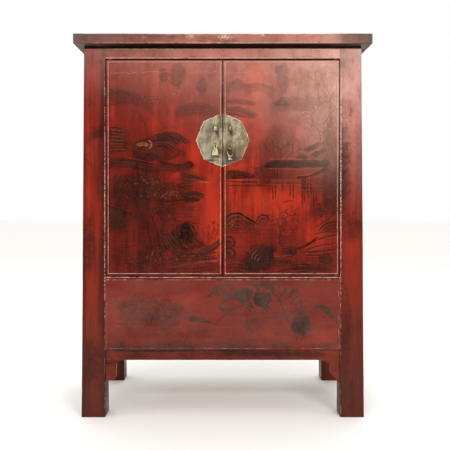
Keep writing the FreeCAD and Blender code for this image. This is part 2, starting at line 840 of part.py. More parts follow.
def bearer_tenon_heights(underside):
    return (underside - size.bearer_height + size.tenon_shoulder / 2,
            underside - size.tenon_shoulder / 2)


def build_shelf_bearers():
    """Four bars, tenoned between the posts, carry the shelf and the drawer floor."""
    bars = []
    for side in (LEFT, RIGHT):
        for level, underside in (("high", at.shelf_underside),
                                 ("low", at.drawer_floor_underside)):
            tenon = (across(side, *bearer_tenon_places()),
                     (at.front_post_back - size.bearer_tenon_length,
                      at.rear_post_front + size.bearer_tenon_length),
                     bearer_tenon_heights(underside))
            bar = board(f"bearer_{SIDE_NAMES[side]}_{level}",
                        (across(side, *bearer_places()),
                         (at.front_post_back, at.rear_post_front),
                         (underside - size.bearer_height, underside)), tenons=[tenon])
            bars.append(bar)
    finish("shelf_bearers", group("bearers", bars))


# Panels, boards and shelves.

def build_side_panels():
    depths = (at.front_post_back - size.panel_tongue, at.rear_post_front + size.panel_tongue)
    levels = {
        "upper": (size.sill_height - size.panel_tongue,
                  at.doorway_top + size.panel_tongue),
        "lower": (size.lower_panel_height - size.panel_tongue,
                  at.sill_bottom + size.panel_tongue),
    }
    for side in (LEFT, RIGHT):
        for level, heights in levels.items():
            name = f"side_panel_{SIDE_NAMES[side]}_{level}"
            finish(name, block(name, across(side, at.side_panel_inner, at.side_panel_outer),
                               depths, heights))


def build_back_boards():
    """Upright boards side by side in the grooves of the rear posts and rails."""
    reach = at.inner + size.panel_tongue
    pitch = 2 * reach / BACK_BOARDS
    boards = []
    for number in range(BACK_BOARDS):
        left = -reach + pitch * number
        right = left + pitch
        if number < BACK_BOARDS - 1:
            right = right - size.back_board_gap
        boards.append(block(f"back_board{number}", (left, right),
                            (at.back_groove_front, at.back_groove_rear),
                            (size.lower_panel_height - size.panel_tongue,
                             at.doorway_top + size.panel_tongue)))
    finish("back_boards", group("back", boards))


def build_lower_front_panel():
    """The wide panel under the doors, with its field sunk inside a thin bead."""
    name = "lower_front_panel"
    body = new_body(name)
    reach = at.inner + size.panel_tongue
    bottom = size.lower_panel_height
    pad(body, f"{name}_board", "Y", rectangle((-reach, reach), (bottom, at.lip_underside)),
        (at.lower_panel_face, at.lower_panel_back))
    field_side = at.inner - size.lower_panel_bead
    field = rectangle((-field_side, field_side), (bottom + size.lower_panel_bead, at.lip_underside))
    pocket(body, f"{name}_field", "Y", field,
           (at.lower_panel_face - size.overrun, at.lower_panel_face + size.lower_panel_field_depth))
    finish(name, body)


def build_apron():
    finish("apron_front", block("apron_front", (-at.inner, at.inner),
                                (at.apron_face, at.apron_back),
                                (size.apron_bottom_height, size.lower_panel_height)))


def build_spandrels():
    """Brackets under the apron. The left is a plain block with rounded corners; the right is
    an ogee, with a hollow, a step and a long curve down the post."""
    left = from_shares(SPANDREL_LEFT_SHARES, (-at.inner, size.apron_bottom_height),
                       size.spandrel_left_width, size.spandrel_left_drop)
    right = from_shares(SPANDREL_RIGHT_SHARES, (at.inner, size.apron_bottom_height),
                        -size.spandrel_right_width, size.spandrel_right_drop)
    for name, outline in (("spandrel_left", left), ("spandrel_right", right)):
        body = new_body(name)
        pad(body, f"{name}_bracket", "Y", outline, (at.apron_face, at.apron_back))
        finish(name, body)


def build_bottom_boards():
    """Boards on the bottom rails. The outer two are notched round the posts."""
    side_reach = at.side_panel_inner - size.shelf_side_gap
    front = at.lower_panel_back + size.floor_notch_clearance
    back = at.back_groove_front - size.floor_notch_clearance
    pitch = (back - front) / FLOOR_BOARDS
    heights = (size.lower_panel_height, size.lower_panel_height + size.floor_board_thickness)
    cut_heights = (heights[0] - size.overrun, heights[1] + size.overrun)
    post_line = at.inner - size.floor_notch_clearance
    boards = []
    for number in range(FLOOR_BOARDS):
        low = front + pitch * number
        high = low + pitch - size.floor_board_gap
        notches = []
        for side in (LEFT, RIGHT):
            corner = across(side, post_line, side_reach + size.overrun)
            if number == 0:
                notches.append((corner, (front - size.overrun,
                                         at.front_post_back + size.floor_notch_clearance),
                                cut_heights))
            if number == FLOOR_BOARDS - 1:
                notches.append((corner, (at.rear_post_front - size.floor_notch_clearance,
                                         back + size.overrun), cut_heights))
        boards.append(board(f"floor_board{number}",
                            ((-side_reach, side_reach), (low, high), heights), cuts=notches))
    finish("bottom_boards", group("floor", boards))


def build_shelves():
    """The shelf over the drawers and the floor under them, notched round the rear posts and
    housed for the divider."""
    side_reach = at.side_panel_inner - size.shelf_side_gap
    back = at.back_groove_front - size.floor_notch_clearance
    divider = middle_band(as_size(0), size.divider_thickness)
    depths = (at.case_front - size.overrun, at.case_back)
    for name, top in (("shelf_board", size.shelf_height),
                      ("drawer_floor", size.drawer_floor_height)):
        underside = top - size.shelf_thickness
        cuts = [(across(side, at.inner - size.floor_notch_clearance, side_reach + size.overrun),
                 (at.rear_post_front - size.floor_notch_clearance, back + size.overrun),
                 (underside - size.overrun, top + size.overrun)) for side in (LEFT, RIGHT)]
        if name == "shelf_board":
            cuts.append((divider, depths, (underside - size.overrun,
                                           underside + size.drawer_bottom_tongue)))
        else:
            cuts.append((divider, depths, (top - size.drawer_bottom_tongue, top + size.overrun)))
        finish(name, board(name, ((-side_reach, side_reach), (at.case_front, back),
                                  (underside, top)), cuts=cuts))
    finish("drawer_divider", block("drawer_divider", divider, (at.case_front, at.case_back),
                                   (size.drawer_floor_height - size.drawer_bottom_tongue,
                                    at.shelf_underside + size.drawer_bottom_tongue)))


def build_cheeks():
    """Boards on edge beside the drawers keep them clear of the doors' swing."""
    cheeks = [block(f"cheek_{SIDE_NAMES[side]}", across(side, at.cheek_inner, at.inner),
                    (at.case_front, at.case_back),
                    (size.drawer_floor_height, at.shelf_underside)) for side in (LEFT, RIGHT)]
    finish("drawer_cheeks", group("cheeks", cheeks))


def build_lids():
    """Two boards that lift out over the hidden compartment, each with a finger hole."""
    back = at.back_groove_front - size.batten_thickness + size.lid_seat - size.lid_clearance
    front = at.sill_back - size.lid_thickness + size.lid_clearance
    near = size.lid_clearance / 2
    far = at.inner - 2 * size.lid_clearance
    for side in (LEFT, RIGHT):
        name = f"compartment_lid_{SIDE_NAMES[side]}"
        body = new_body(name)
        heights = (at.lid_underside, at.lid_top)
        pad(body, f"{name}_board", "Z", rectangle(across(side, near, far), (front, back)), heights)
        centre = (side * (far - size.finger_hole_inset - size.lid_seat), (front + back) / 2)
        pocket(body, f"{name}_finger_hole", "Z", circle(centre, size.finger_hole_radius),
               (heights[0] - size.overrun, heights[1] + size.overrun))
        finish(name, body)


# Drawers.

def build_drawers():
    for side in (LEFT, RIGHT):
        build_drawer(side)


def build_drawer(side):
    """The front is lapped over the sides, and the bottom slides in grooves."""
    name = f"drawer_{SIDE_NAMES[side]}"
    floor = size.drawer_floor_height
    top = at.drawer_top
    near = at.drawer_inner
    far = at.drawer_outer
    front_back = at.case_front + size.drawer_front_thickness
    wall = size.drawer_side_thickness
    tongue = size.drawer_bottom_tongue
    bottom_low = floor + size.drawer_bottom_lift
    bottom = (bottom_low, bottom_low + size.drawer_bottom_thickness)
    side_top = top - size.drawer_side_drop
    lap_front = front_back - size.drawer_lap
    laps = [(across(side, *edge), (lap_front, front_back + size.overrun),
             (floor - size.overrun, side_top))
            for edge in ((near - size.overrun, near + wall), (far - wall, far + size.overrun))]
    groove = (across(side, near + wall - tongue, far - wall + tongue),
              (front_back - tongue, front_back + size.overrun), bottom)
    shank = drawer_shank_hole(side)
    front = board(f"{name}_front", (across(side, near, far), (at.case_front, front_back),
                                    (floor, top)), cuts=[*laps, groove])
    finish(f"{name}_front", without(f"{name}_front_bored", front, [shank]))
    members = []
    back_front = at.drawer_back - wall
    for edge, groove_edge in (((near, near + wall), (near + wall - tongue, near + wall + size.overrun)),
                              ((far - wall, far), (far - wall - size.overrun, far - wall + tongue))):
        side_groove = (across(side, *groove_edge), (lap_front, at.drawer_back), bottom)
        members.append(board(f"{name}_side{len(members)}",
                             (across(side, *edge), (lap_front, at.drawer_back),
                              (floor, side_top)), cuts=[side_groove]))
    members.append(block(f"{name}_back", across(side, near + wall, far - wall),
                         (back_front, at.drawer_back), (bottom[1], side_top)))
    members.append(block(f"{name}_bottom", across(side, near + wall - tongue, far - wall + tongue),
                         (front_back - tongue, at.drawer_back), bottom))
    finish(f"{name}_box", group(f"{name}_members", members))


def drawer_shank_hole(side):
    """The hole in a drawer front for the shank of its staple."""
    centre = (side * at.drawer_middle, at.drawer_handle_height)
    along = (at.case_front - size.overrun,
             at.case_front + size.drawer_front_thickness + size.overrun)
    return round_bar(f"drawer_{SIDE_NAMES[side]}_bore", centre,
                     size.staple_wire_radius + size.shank_clearance, along)


# Doors. Each is a frame of two stiles and two rails round a flush panel.

def door_x(side, inset):
    """A place across a door, from the distance to its outer edge."""
    return side * (at.door_outer - inset)


def stile_outline(side, edge_inset, towards):
    """The section of a stile: a bead on its outer arris and a groove on its inner edge.
    Distances run from the stile's own outer edge, towards the middle of the door."""
    def spot(inset, depth):
        return side * (at.door_outer - edge_inset - towards * inset), at.door_face + depth

    width = size.stile_width
    bead = size.door_bead_width
    rise = -size.door_bead_height
    corner = size.door_corner_radius
    groove_front = size.door_panel_thickness - size.door_tongue_thickness
    groove_depth = width - size.door_tongue_length
    none = as_size(0)
    return (spot(none, size.door_thickness), spot(width, size.door_thickness),
            spot(width, size.door_panel_thickness), spot(groove_depth, size.door_panel_thickness),
            spot(groove_depth, groove_front), spot(width, groove_front), spot(width, none),
            spot(bead, none), spot(bead - size.door_bead_slope, rise), spot(corner, rise),
            (spot(corner * CREST_SHARE, rise + corner * CREST_SHARE), spot(none, rise + corner)))


def bead_run(body, name, side, edge_inset, towards, heights):
    """The bead's run across the end of a stile, along the top or bottom of the door."""
    near = side * (at.door_outer - edge_inset - towards * size.door_corner_radius)
    far = side * (at.door_outer - edge_inset - towards * size.stile_width)
    pad(body, name, "Y", rectangle((near, far), heights),
        (at.door_face - size.door_bead_height, at.door_face + size.overrun))


def build_stile(side, kind):
    """A stile. The hinge stile turns on a round pivot at each end."""
    name = f"door_{SIDE_NAMES[side]}_{kind}_stile"
    body = new_body(name)
    door_width = at.door_outer - at.door_meeting
    edge_inset = as_size(0) if kind == "hinge" else door_width
    towards = 1 if kind == "hinge" else -1
    heights = (at.door_bottom, at.door_top)
    pad(body, f"{name}_section", "Z", stile_outline(side, edge_inset, towards), heights)
    bead = size.door_bead_width
    bead_run(body, f"{name}_top_bead", side, edge_inset, towards, (at.door_top - bead, at.door_top))
    bead_run(body, f"{name}_bottom_bead", side, edge_inset, towards,
             (at.door_bottom, at.door_bottom + bead))
    if kind == "hinge":
        pivot = circle((side * at.pivot_x, at.pivot_y), size.pivot_radius)
        foot = size.sill_height - size.bottom_socket_depth + size.bottom_pivot_play
        pad(body, f"{name}_bottom_pivot", "Z", pivot, (foot, at.door_bottom + size.overrun))
        pad(body, f"{name}_top_pivot", "Z", pivot,
            (at.door_top - size.overrun, at.door_top + size.top_pivot_length))
    else:
        seat = circle((as_size(0), at.plate_centre),
                      size.plate_tip_radius + size.plate_seat_clearance)
        pocket(body, f"{name}_plate_seat", "Y", seat,
               (at.door_face - size.door_bead_height - size.overrun, at.door_face))
    stile = without(f"{name}_mortised", body, stile_mortises(side, kind, edge_inset, towards))
    finish(name, stile)


def door_rail_levels():
    return {
        "top": (at.door_top - size.door_top_rail_height, at.door_top),
        "bottom": (at.door_bottom, at.door_bottom + size.door_bottom_rail_height),
    }


def door_groove_depths():
    return (at.door_face + size.door_panel_thickness - size.door_tongue_thickness,
            at.door_face + size.door_panel_thickness)


def stile_mortises(side, kind, edge_inset, towards):
    """Mortises for the rails' tenons, and holes for the brass work's shanks."""
    name = f"door_{SIDE_NAMES[side]}_{kind}"
    deep = side * (at.door_outer - edge_inset
                   - towards * (size.stile_width - size.door_tenon_length - size.mortise_spare_depth))
    open_end = side * (at.door_outer - edge_inset - towards * (size.stile_width + size.overrun))
    x_range = (deep, open_end) if deep.value < open_end.value else (open_end, deep)
    cutters = []
    for level, (low, high) in door_rail_levels().items():
        cutters.append(block(f"{name}_mortise_{level}", x_range, door_groove_depths(),
                             door_tenon_heights(low, high)))
    if kind == "meeting":
        along = (at.door_face - size.overrun, at.door_back + size.overrun)
        for label, offset, height, wire in brass_posts():
            cutters.append(round_bar(f"{name}_{label}_bore", (side * offset, height),
                                     wire + size.shank_clearance, along))
    return cutters


def door_tenon_heights(low, high):
    return low + size.door_bead_width, high - size.door_bead_width


def build_door_rails(side):
    """The rails have the bead on the door's edge and the panel's groove on the other."""
    name = f"door_{SIDE_NAMES[side]}_rails"
    stile_line = at.door_outer - size.stile_width
    meeting_line = at.door_meeting + size.stile_width
    x_range = across(side, meeting_line, stile_line)
    tenon_range = across(side, meeting_line - size.door_tenon_length,
                         stile_line + size.door_tenon_length)
    tongue = size.door_tongue_length
    members = []
    for level, (low, high) in door_rail_levels().items():
        edge, inner, towards = (high, low, -1) if level == "top" else (low, high, 1)
        bead_face = at.door_face - size.door_bead_height
        groove = door_groove_depths()
        profile = ((at.door_back, edge), (bead_face, edge),
                   (bead_face, edge + towards * (size.door_bead_width - size.door_bead_slope)),
                   (at.door_face, edge + towards * size.door_bead_width),
                   (at.door_face, inner), (groove[0], inner), (groove[0], inner - towards * tongue),
                   (groove[1], inner - towards * tongue), (groove[1], inner),
                   (at.door_back, inner))
        body = new_body(f"{name}_{level}")
        pad(body, f"{name}_{level}_section", "X", profile, x_range)
        if level == "top":
            tenon = rectangle(groove, (low + tongue, high - size.door_bead_width))
        else:
            tenon = rectangle(groove, (low + size.door_bead_width, high - tongue))
        pad(body, f"{name}_{level}_tenons", "X", tenon, tenon_range)
        members.append(body)
    finish(name, group(f"{name}_pair", members))


def build_door_panel(side):
    name = f"door_{SIDE_NAMES[side]}_panel"
    levels = door_rail_levels()
    near = at.door_meeting + size.stile_width
    far = at.door_outer - size.stile_width
    low = levels["bottom"][1]
    high = levels["top"][0]
    tongue = size.door_tongue_length
    panel = board(name, (across(side, near, far),
                         (at.door_face, at.door_face + size.door_panel_thickness), (low, high)),
                  tenons=[(across(side, near - tongue, far + tongue), door_groove_depths(),
                           (low - tongue, high + tongue))])
    finish(name, panel)


# Brass work: the lock plate in two halves, staples with clinched tails, and hanging pulls.

def brass_posts():
    """What goes through a meeting stile: its name, offset, height and wire."""
    return (("loop", size.loop_offset, at.loop_height, size.loop_wire_radius),
            ("staple", size.staple_offset, at.staple_height, size.staple_wire_radius))


def lobe_spot(direction, shares):
    """A point of the topmost lobe's edge, on one side of its tip."""
    turn = direction * math.pi / LOBES * shares[0]
    return (size.plate_tip_radius * (shares[1] * math.sin(turn)),
            size.plate_tip_radius * (shares[1] * math.cos(turn)))


def lobe_outline():
    """From the notch a full curve swells, then flicks out to the pointed tip, and back down."""
    centre = (as_size(0), as_size(0))
    tip = (as_size(0), size.plate_tip_radius)
    return (centre, lobe_spot(-1, LOBE_NOTCH_SHARES),
            (lobe_spot(-1, LOBE_SWELL_SHARES), lobe_spot(-1, LOBE_SHOULDER_SHARES)),
            (lobe_spot(-1, LOBE_FLICK_SHARES), tip),
            (lobe_spot(1, LOBE_FLICK_SHARES), lobe_spot(1, LOBE_SHOULDER_SHARES)),
            (lobe_spot(1, LOBE_SWELL_SHARES), lobe_spot(1, LOBE_NOTCH_SHARES)))


def build_lock_plates():
    """One lobe is repeated round the plate's centre, and half the plate is cut away."""
    body = new_body("lock_plate")
    lobe = pad(body, "lock_plate_lobe", "Y", lobe_outline(), (at.plate_face, at.door_face))
    sketch = lobe.Profile[0]
    sketch.setExpression("AttachmentOffset.Base.y", at.plate_centre.formula)
    doc.recompute()
    lobes = body.newObject("PartDesign::PolarPattern", "lock_plate_lobes")
    lobes.Originals = [lobe]
    lobes.Axis = (sketch, ["N_Axis"])
    lobes.Angle = FULL_TURN
    lobes.Occurrences = LOBES
    body.Tip = lobes
    reach = size.plate_tip_radius + size.overrun
    through = (at.plate_face - size.overrun, at.door_face + size.overrun)
    heights = middle_band(at.plate_centre, 2 * reach)
    pocket(body, "lock_plate_split", "Y", rectangle((-reach, at.door_meeting), heights), through)
    for label, offset, height, wire in brass_posts():
        pocket(body, f"lock_plate_{label}_hole", "Y",
               circle((offset, height), wire + size.shank_clearance), through)
    finish("lock_plate_right", body)
    finish("lock_plate_left", mirrored("lock_plate_mirrored", body))


def round_bar(name, centre, radius, along):
    """A straight round bar along Y."""
    bar = doc.addObject("Part::Cylinder", name)
    low, high = along
    bar.setExpression("Radius", radius.formula)
    bar.setExpression("Height", (high - low).formula)
    bar.Placement.Rotation = FreeCAD.Rotation(FreeCAD.Vector(1, 0, 0), -90)
    for letter, spot in zip("xyz", (centre[0], low, centre[1])):
        bar.setExpression(f"Placement.Base.{letter}", as_size(spot).formula)
    return bar


def ring(name, centre, radius, wire, turned_to):
    """A ring bent from a flat strip, with its hole along X or Y."""
    discs = []
    turn_axis, angle = {"X": ((0, 1, 0), 90), "Y": ((1, 0, 0), -90)}[turned_to]
    for label, disc_radius in (("outer", radius + wire), ("hole", radius - wire)):
        disc = doc.addObject("Part::Cylinder", f"{name}_{label}")
        disc.setExpression("Radius", disc_radius.formula)
        disc.setExpression("Height", (2 * wire).formula)
        disc.Placement.Rotation = FreeCAD.Rotation(FreeCAD.Vector(*turn_axis), angle)
        for letter, spot in zip("xyz", centre):
            low = as_size(spot) - wire if letter == turned_to.lower() else as_size(spot)
            disc.setExpression(f"Placement.Base.{letter}", low.formula)
        discs.append(disc)
    band = doc.addObject("Part::Cut", name)
    band.Base, band.Tool = discs
    return band


def build_staple(name, centre, ring_radius, wire, face, back):
    """A split pin: a ring in front, a shank through the wood and tails bent flat behind."""
    x_place, height = centre
    ring_centre = staple_ring_place(face, ring_radius, wire)
    eye = ring(f"{name}_ring", (x_place, ring_centre, height), ring_radius, wire, "X")
    shank = round_bar(f"{name}_shank", centre, wire * SHANK_SHARE,
                      (ring_centre + ring_radius, back + wire / 2))
    tails = block(f"{name}_tails", middle_band(as_size(x_place), 2 * wire), (back, back + wire),
                  middle_band(height, 2 * size.staple_tail_length))
    return joined(f"{name}_whole", [eye, shank, tails])


def staple_ring_place(face, ring_radius, wire):
    return face - size.ring_standoff - wire - ring_radius


def build_door_staples(side):
    name = f"door_{SIDE_NAMES[side]}_staples"
    radii = {"loop": size.loop_ring_radius, "staple": size.staple_ring_radius}
    members = [build_staple(f"{name}_{label}", (side * offset, height), radii[label], wire,
                            at.plate_face, at.door_back)
               for label, offset, height, wire in brass_posts()]
    finish(name, group(f"{name}_pair", members))


def build_drawer_staple(side):
    name = f"drawer_{SIDE_NAMES[side]}_staple"
    centre = (side * at.drawer_middle, at.drawer_handle_height)
    staple = build_staple(name, centre, size.staple_ring_radius, size.staple_wire_radius,
                          at.case_front, at.case_front + size.drawer_front_thickness)
    finish(name, staple)


def build_pull(node, centre, shape):
    """A flat cast pull that hangs by its own ring from a staple's ring."""
    x_place, depth, height = centre
    ring_centre = height - size.pull_ring_radius
    eye = ring(f"{node}_ring", (x_place, depth, ring_centre), size.pull_ring_radius,
               size.pull_wire_radius, "Y")
    top = ring_centre - size.pull_ring_radius
    body = new_body(f"{node}_drop")
    along = middle_band(depth, size.pull_thickness)
    crown = (as_size(x_place), top)
    if shape == "bell":
        outline = from_shares(BELL_SHARES, crown, size.bell_width, size.bell_height)
        pad(body, f"{node}_bell", "Y", outline, along)
    else:
        outline = from_shares(VASE_SHARES, crown, size.vase_width, size.vase_height)
        pad(body, f"{node}_vase", "Y", outline, along)
        opening_crown = (as_size(x_place), top - size.vase_wire_width)
        opening = from_shares(VASE_OPENING_SHARES, opening_crown,
                              size.vase_width - 2 * size.vase_wire_width, size.vase_height)
        pocket(body, f"{node}_opening", "Y", opening,
               (along[0] - size.overrun, along[1] + size.overrun))
    finish(node, joined(f"{node}_whole", [eye, body]))


def build_pulls():
    door_depth = staple_ring_place(at.plate_face, size.staple_ring_radius, size.staple_wire_radius)
    drawer_depth = staple_ring_place(at.case_front, size.staple_ring_radius,
                                     size.staple_wire_radius)
    shapes = {LEFT: "bell", RIGHT: "vase"}
    for side in (LEFT, RIGHT):
        name = SIDE_NAMES[side]
        build_pull(f"door_{name}_pull", (side * size.staple_offset, door_depth, at.staple_height),
                   shapes[side])
        build_pull(f"drawer_{name}_pull",
                   (side * at.drawer_middle, drawer_depth, at.drawer_handle_height), "bell")


def build_doors():
    for side in (LEFT, RIGHT):
        build_stile(side, "hinge")
        build_stile(side, "meeting")
        build_door_rails(side)
        build_door_panel(side)
        build_door_staples(side)
        build_drawer_staple(side)
    build_lock_plates()


def check_and_write():
    """Refuses a failed feature, an invalid shape or a pocket that cuts nothing."""
    for item in doc.Objects:
        if "Invalid" in item.State or "Error" in item.State:
            raise RuntimeError(f"{item.Name} failed: {item.State}")
        if item.TypeId == "PartDesign::Pocket":
            if item.Shape.Volume >= item.BaseFeature.Shape.Volume:
                raise RuntimeError(f"{item.Name} cuts nothing")
    os.makedirs("parts", exist_ok=True)
    for node, piece in nodes.items():
        shape = piece.Shape
        if shape.isNull() or not shape.isValid() or not shape.Solids:
            raise RuntimeError(f"{node} has no valid solid")
        shape.exportStep(f"parts/{node}.step")


work_out_places()
build_top()
build_top_rail_front()
build_door_sill_rail()
build_plain_long_rails()
build_side_rails()
build_side_mid_rails()
build_posts()
build_back_battens()
build_floor_bearer()
build_shelf_bearers()
build_side_panels()
build_back_boards()
build_lower_front_panel()
build_apron()
build_spandrels()
build_bottom_boards()
build_shelves()
build_cheeks()
build_lids()
build_drawers()
build_doors()
build_pulls()
doc.recompute()
check_and_write()
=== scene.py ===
import math

import bmesh
import bpy
import numpy as np
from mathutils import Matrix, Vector
from mathutils.bvhtree import BVHTree


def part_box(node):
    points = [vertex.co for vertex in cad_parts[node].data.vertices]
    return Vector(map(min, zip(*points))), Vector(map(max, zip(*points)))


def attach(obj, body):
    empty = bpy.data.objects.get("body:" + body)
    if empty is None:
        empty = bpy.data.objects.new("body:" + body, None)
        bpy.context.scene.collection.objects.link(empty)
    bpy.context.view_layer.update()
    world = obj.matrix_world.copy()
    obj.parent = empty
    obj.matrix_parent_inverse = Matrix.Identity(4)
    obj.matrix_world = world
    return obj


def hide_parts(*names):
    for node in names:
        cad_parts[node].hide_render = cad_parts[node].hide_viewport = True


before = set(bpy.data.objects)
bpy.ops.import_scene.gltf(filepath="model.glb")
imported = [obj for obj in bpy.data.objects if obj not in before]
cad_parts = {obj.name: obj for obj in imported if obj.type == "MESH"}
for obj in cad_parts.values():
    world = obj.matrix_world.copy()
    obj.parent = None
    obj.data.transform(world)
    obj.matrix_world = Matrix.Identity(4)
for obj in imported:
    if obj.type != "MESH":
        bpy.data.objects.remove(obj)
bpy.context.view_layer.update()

# The room: a pale seamless floor, plain white behind, and soft light that comes mostly from the
# upper right. The eye stands level with the lower part of the doors, square to the front.

EYE = Vector((0.0, -2.436, 0.846))
WARM_DAY, COOL_DAY = (1.0, 0.96, 0.92), (0.97, 0.98, 1.0)
FLOOR_REACH = 14.0


def placed(name, data):
    """Stands a mesh, a lamp or the camera in the scene."""
    thing = bpy.data.objects.new(name, data)
    bpy.context.scene.collection.objects.link(thing)
    return thing


def join(tree, *pairs):
    """Links the nodes of a tree, each pair an output and the input that it feeds."""
    for start, end in pairs:
        tree.links.new(start, end)


camera_data = bpy.data.cameras.new("eye")
camera_data.lens = 47.3
camera_data.sensor_width = 36
camera_data.shift_x, camera_data.shift_y = 0.005, -0.078
camera = placed("eye", camera_data)
camera.location = EYE
camera.rotation_euler = (math.radians(90), 0, 0)
bpy.context.scene.camera = camera

for name, place, target, size, watts, colour in (
        ("window", (1.45, -3.3, 2.20), (0.2, 0.0, 1.0), (1.0, 1.2), 58, WARM_DAY),
        ("transom", (-0.9, -3.2, 2.55), (0.0, 0.0, 0.9), (1.8, 0.5), 42, WARM_DAY),
        ("room_left", (-3.0, -1.6, 1.6), (0.0, 0.0, 0.8), (1.8, 1.8), 14, WARM_DAY),
        ("room_back", (0.5, 3.0, 2.6), (0.0, 0.0, 0.8), (2.4, 2.0), 40, COOL_DAY)):
    lamp = bpy.data.lights.new(name, "AREA")
    lamp.shape = "RECTANGLE"
    lamp.size, lamp.size_y = size
    lamp.energy = watts
    lamp.color = colour
    lantern = placed(name, lamp)
    lantern.location = place
    lantern.rotation_euler = (Vector(target) - Vector(place)).to_track_quat("-Z", "Y").to_euler()

world = bpy.data.worlds.new("pale_room")
world.use_nodes = True
room = world.node_tree
wall, paper = room.nodes["Background"], room.nodes.new("ShaderNodeBackground")
either, seen = room.nodes.new("ShaderNodeMixShader"), room.nodes.new("ShaderNodeLightPath")
look, ways = room.nodes.new("ShaderNodeTexCoord"), room.nodes.new("ShaderNodeSeparateXYZ")
behind, above = (room.nodes.new("ShaderNodeMapRange") for _ in range(2))
both = room.nodes.new("ShaderNodeMath")
for shade, span in ((behind, (-0.5, 0.6, 0.16, 0.75)), (above, (0.30, 0.85, 0.0, 1.0))):
    for socket, value in zip(list(shade.inputs)[1:5], span):
        socket.default_value = value
wall.inputs["Color"].default_value = (1.0, 0.98, 0.95, 1)
join(room, (look.outputs["Generated"], ways.inputs[0]), (ways.outputs["Y"], behind.inputs[0]),
     (ways.outputs["Z"], above.inputs[0]), (behind.outputs[0], both.inputs[0]),
     (above.outputs[0], both.inputs[1]), (both.outputs[0], wall.inputs["Strength"]),
     (seen.outputs["Is Camera Ray"], either.inputs[0]), (wall.outputs[0], either.inputs[1]),
     (paper.outputs[0], either.inputs[2]), (either.outputs[0], room.nodes["World Output"].inputs["Surface"]))
paper.inputs["Color"].default_value = (1.0, 1.0, 1.0, 1)
bpy.context.scene.world = world
bpy.context.scene.view_settings.view_transform = "Standard"

floor_mesh = bpy.data.meshes.new("floor")
floor_mesh.from_pydata([(-FLOOR_REACH, -FLOOR_REACH, 0), (FLOOR_REACH, -FLOOR_REACH, 0),
                        (FLOOR_REACH, FLOOR_REACH, 0), (-FLOOR_REACH, FLOOR_REACH, 0)], [], [(0, 1, 2, 3)])
floor = placed("floor", floor_mesh)
floor_finish = bpy.data.materials.new("pale_floor")
floor_finish.use_nodes = True
floor_surface = floor_finish.node_tree.nodes["Principled BSDF"]
floor_surface.inputs["Base Color"].default_value = (0.9, 0.9, 0.89, 1)
floor_surface.inputs["Roughness"].default_value = 0.9
floor_mesh.materials.append(floor_finish)


# The top: one thick plank between two end clamps, under red lacquer that has gone dusty, and
# paled on its front by a painted sheen; its underside is darkened as painted shade. Its front
# edge is knocked about, and the clamps have worn to a greyer brown.

FRONT_RUN, TOP_RUN = (-0.16, -0.20), (0.34, -0.26)
# The pale colour of dust and painted sheen over the upper front.
DOOR_DUST_AND_SHEEN = (0.56, 0.320, 0.255)


def scaled(values, factor):
    return tuple(value * factor for value in values)


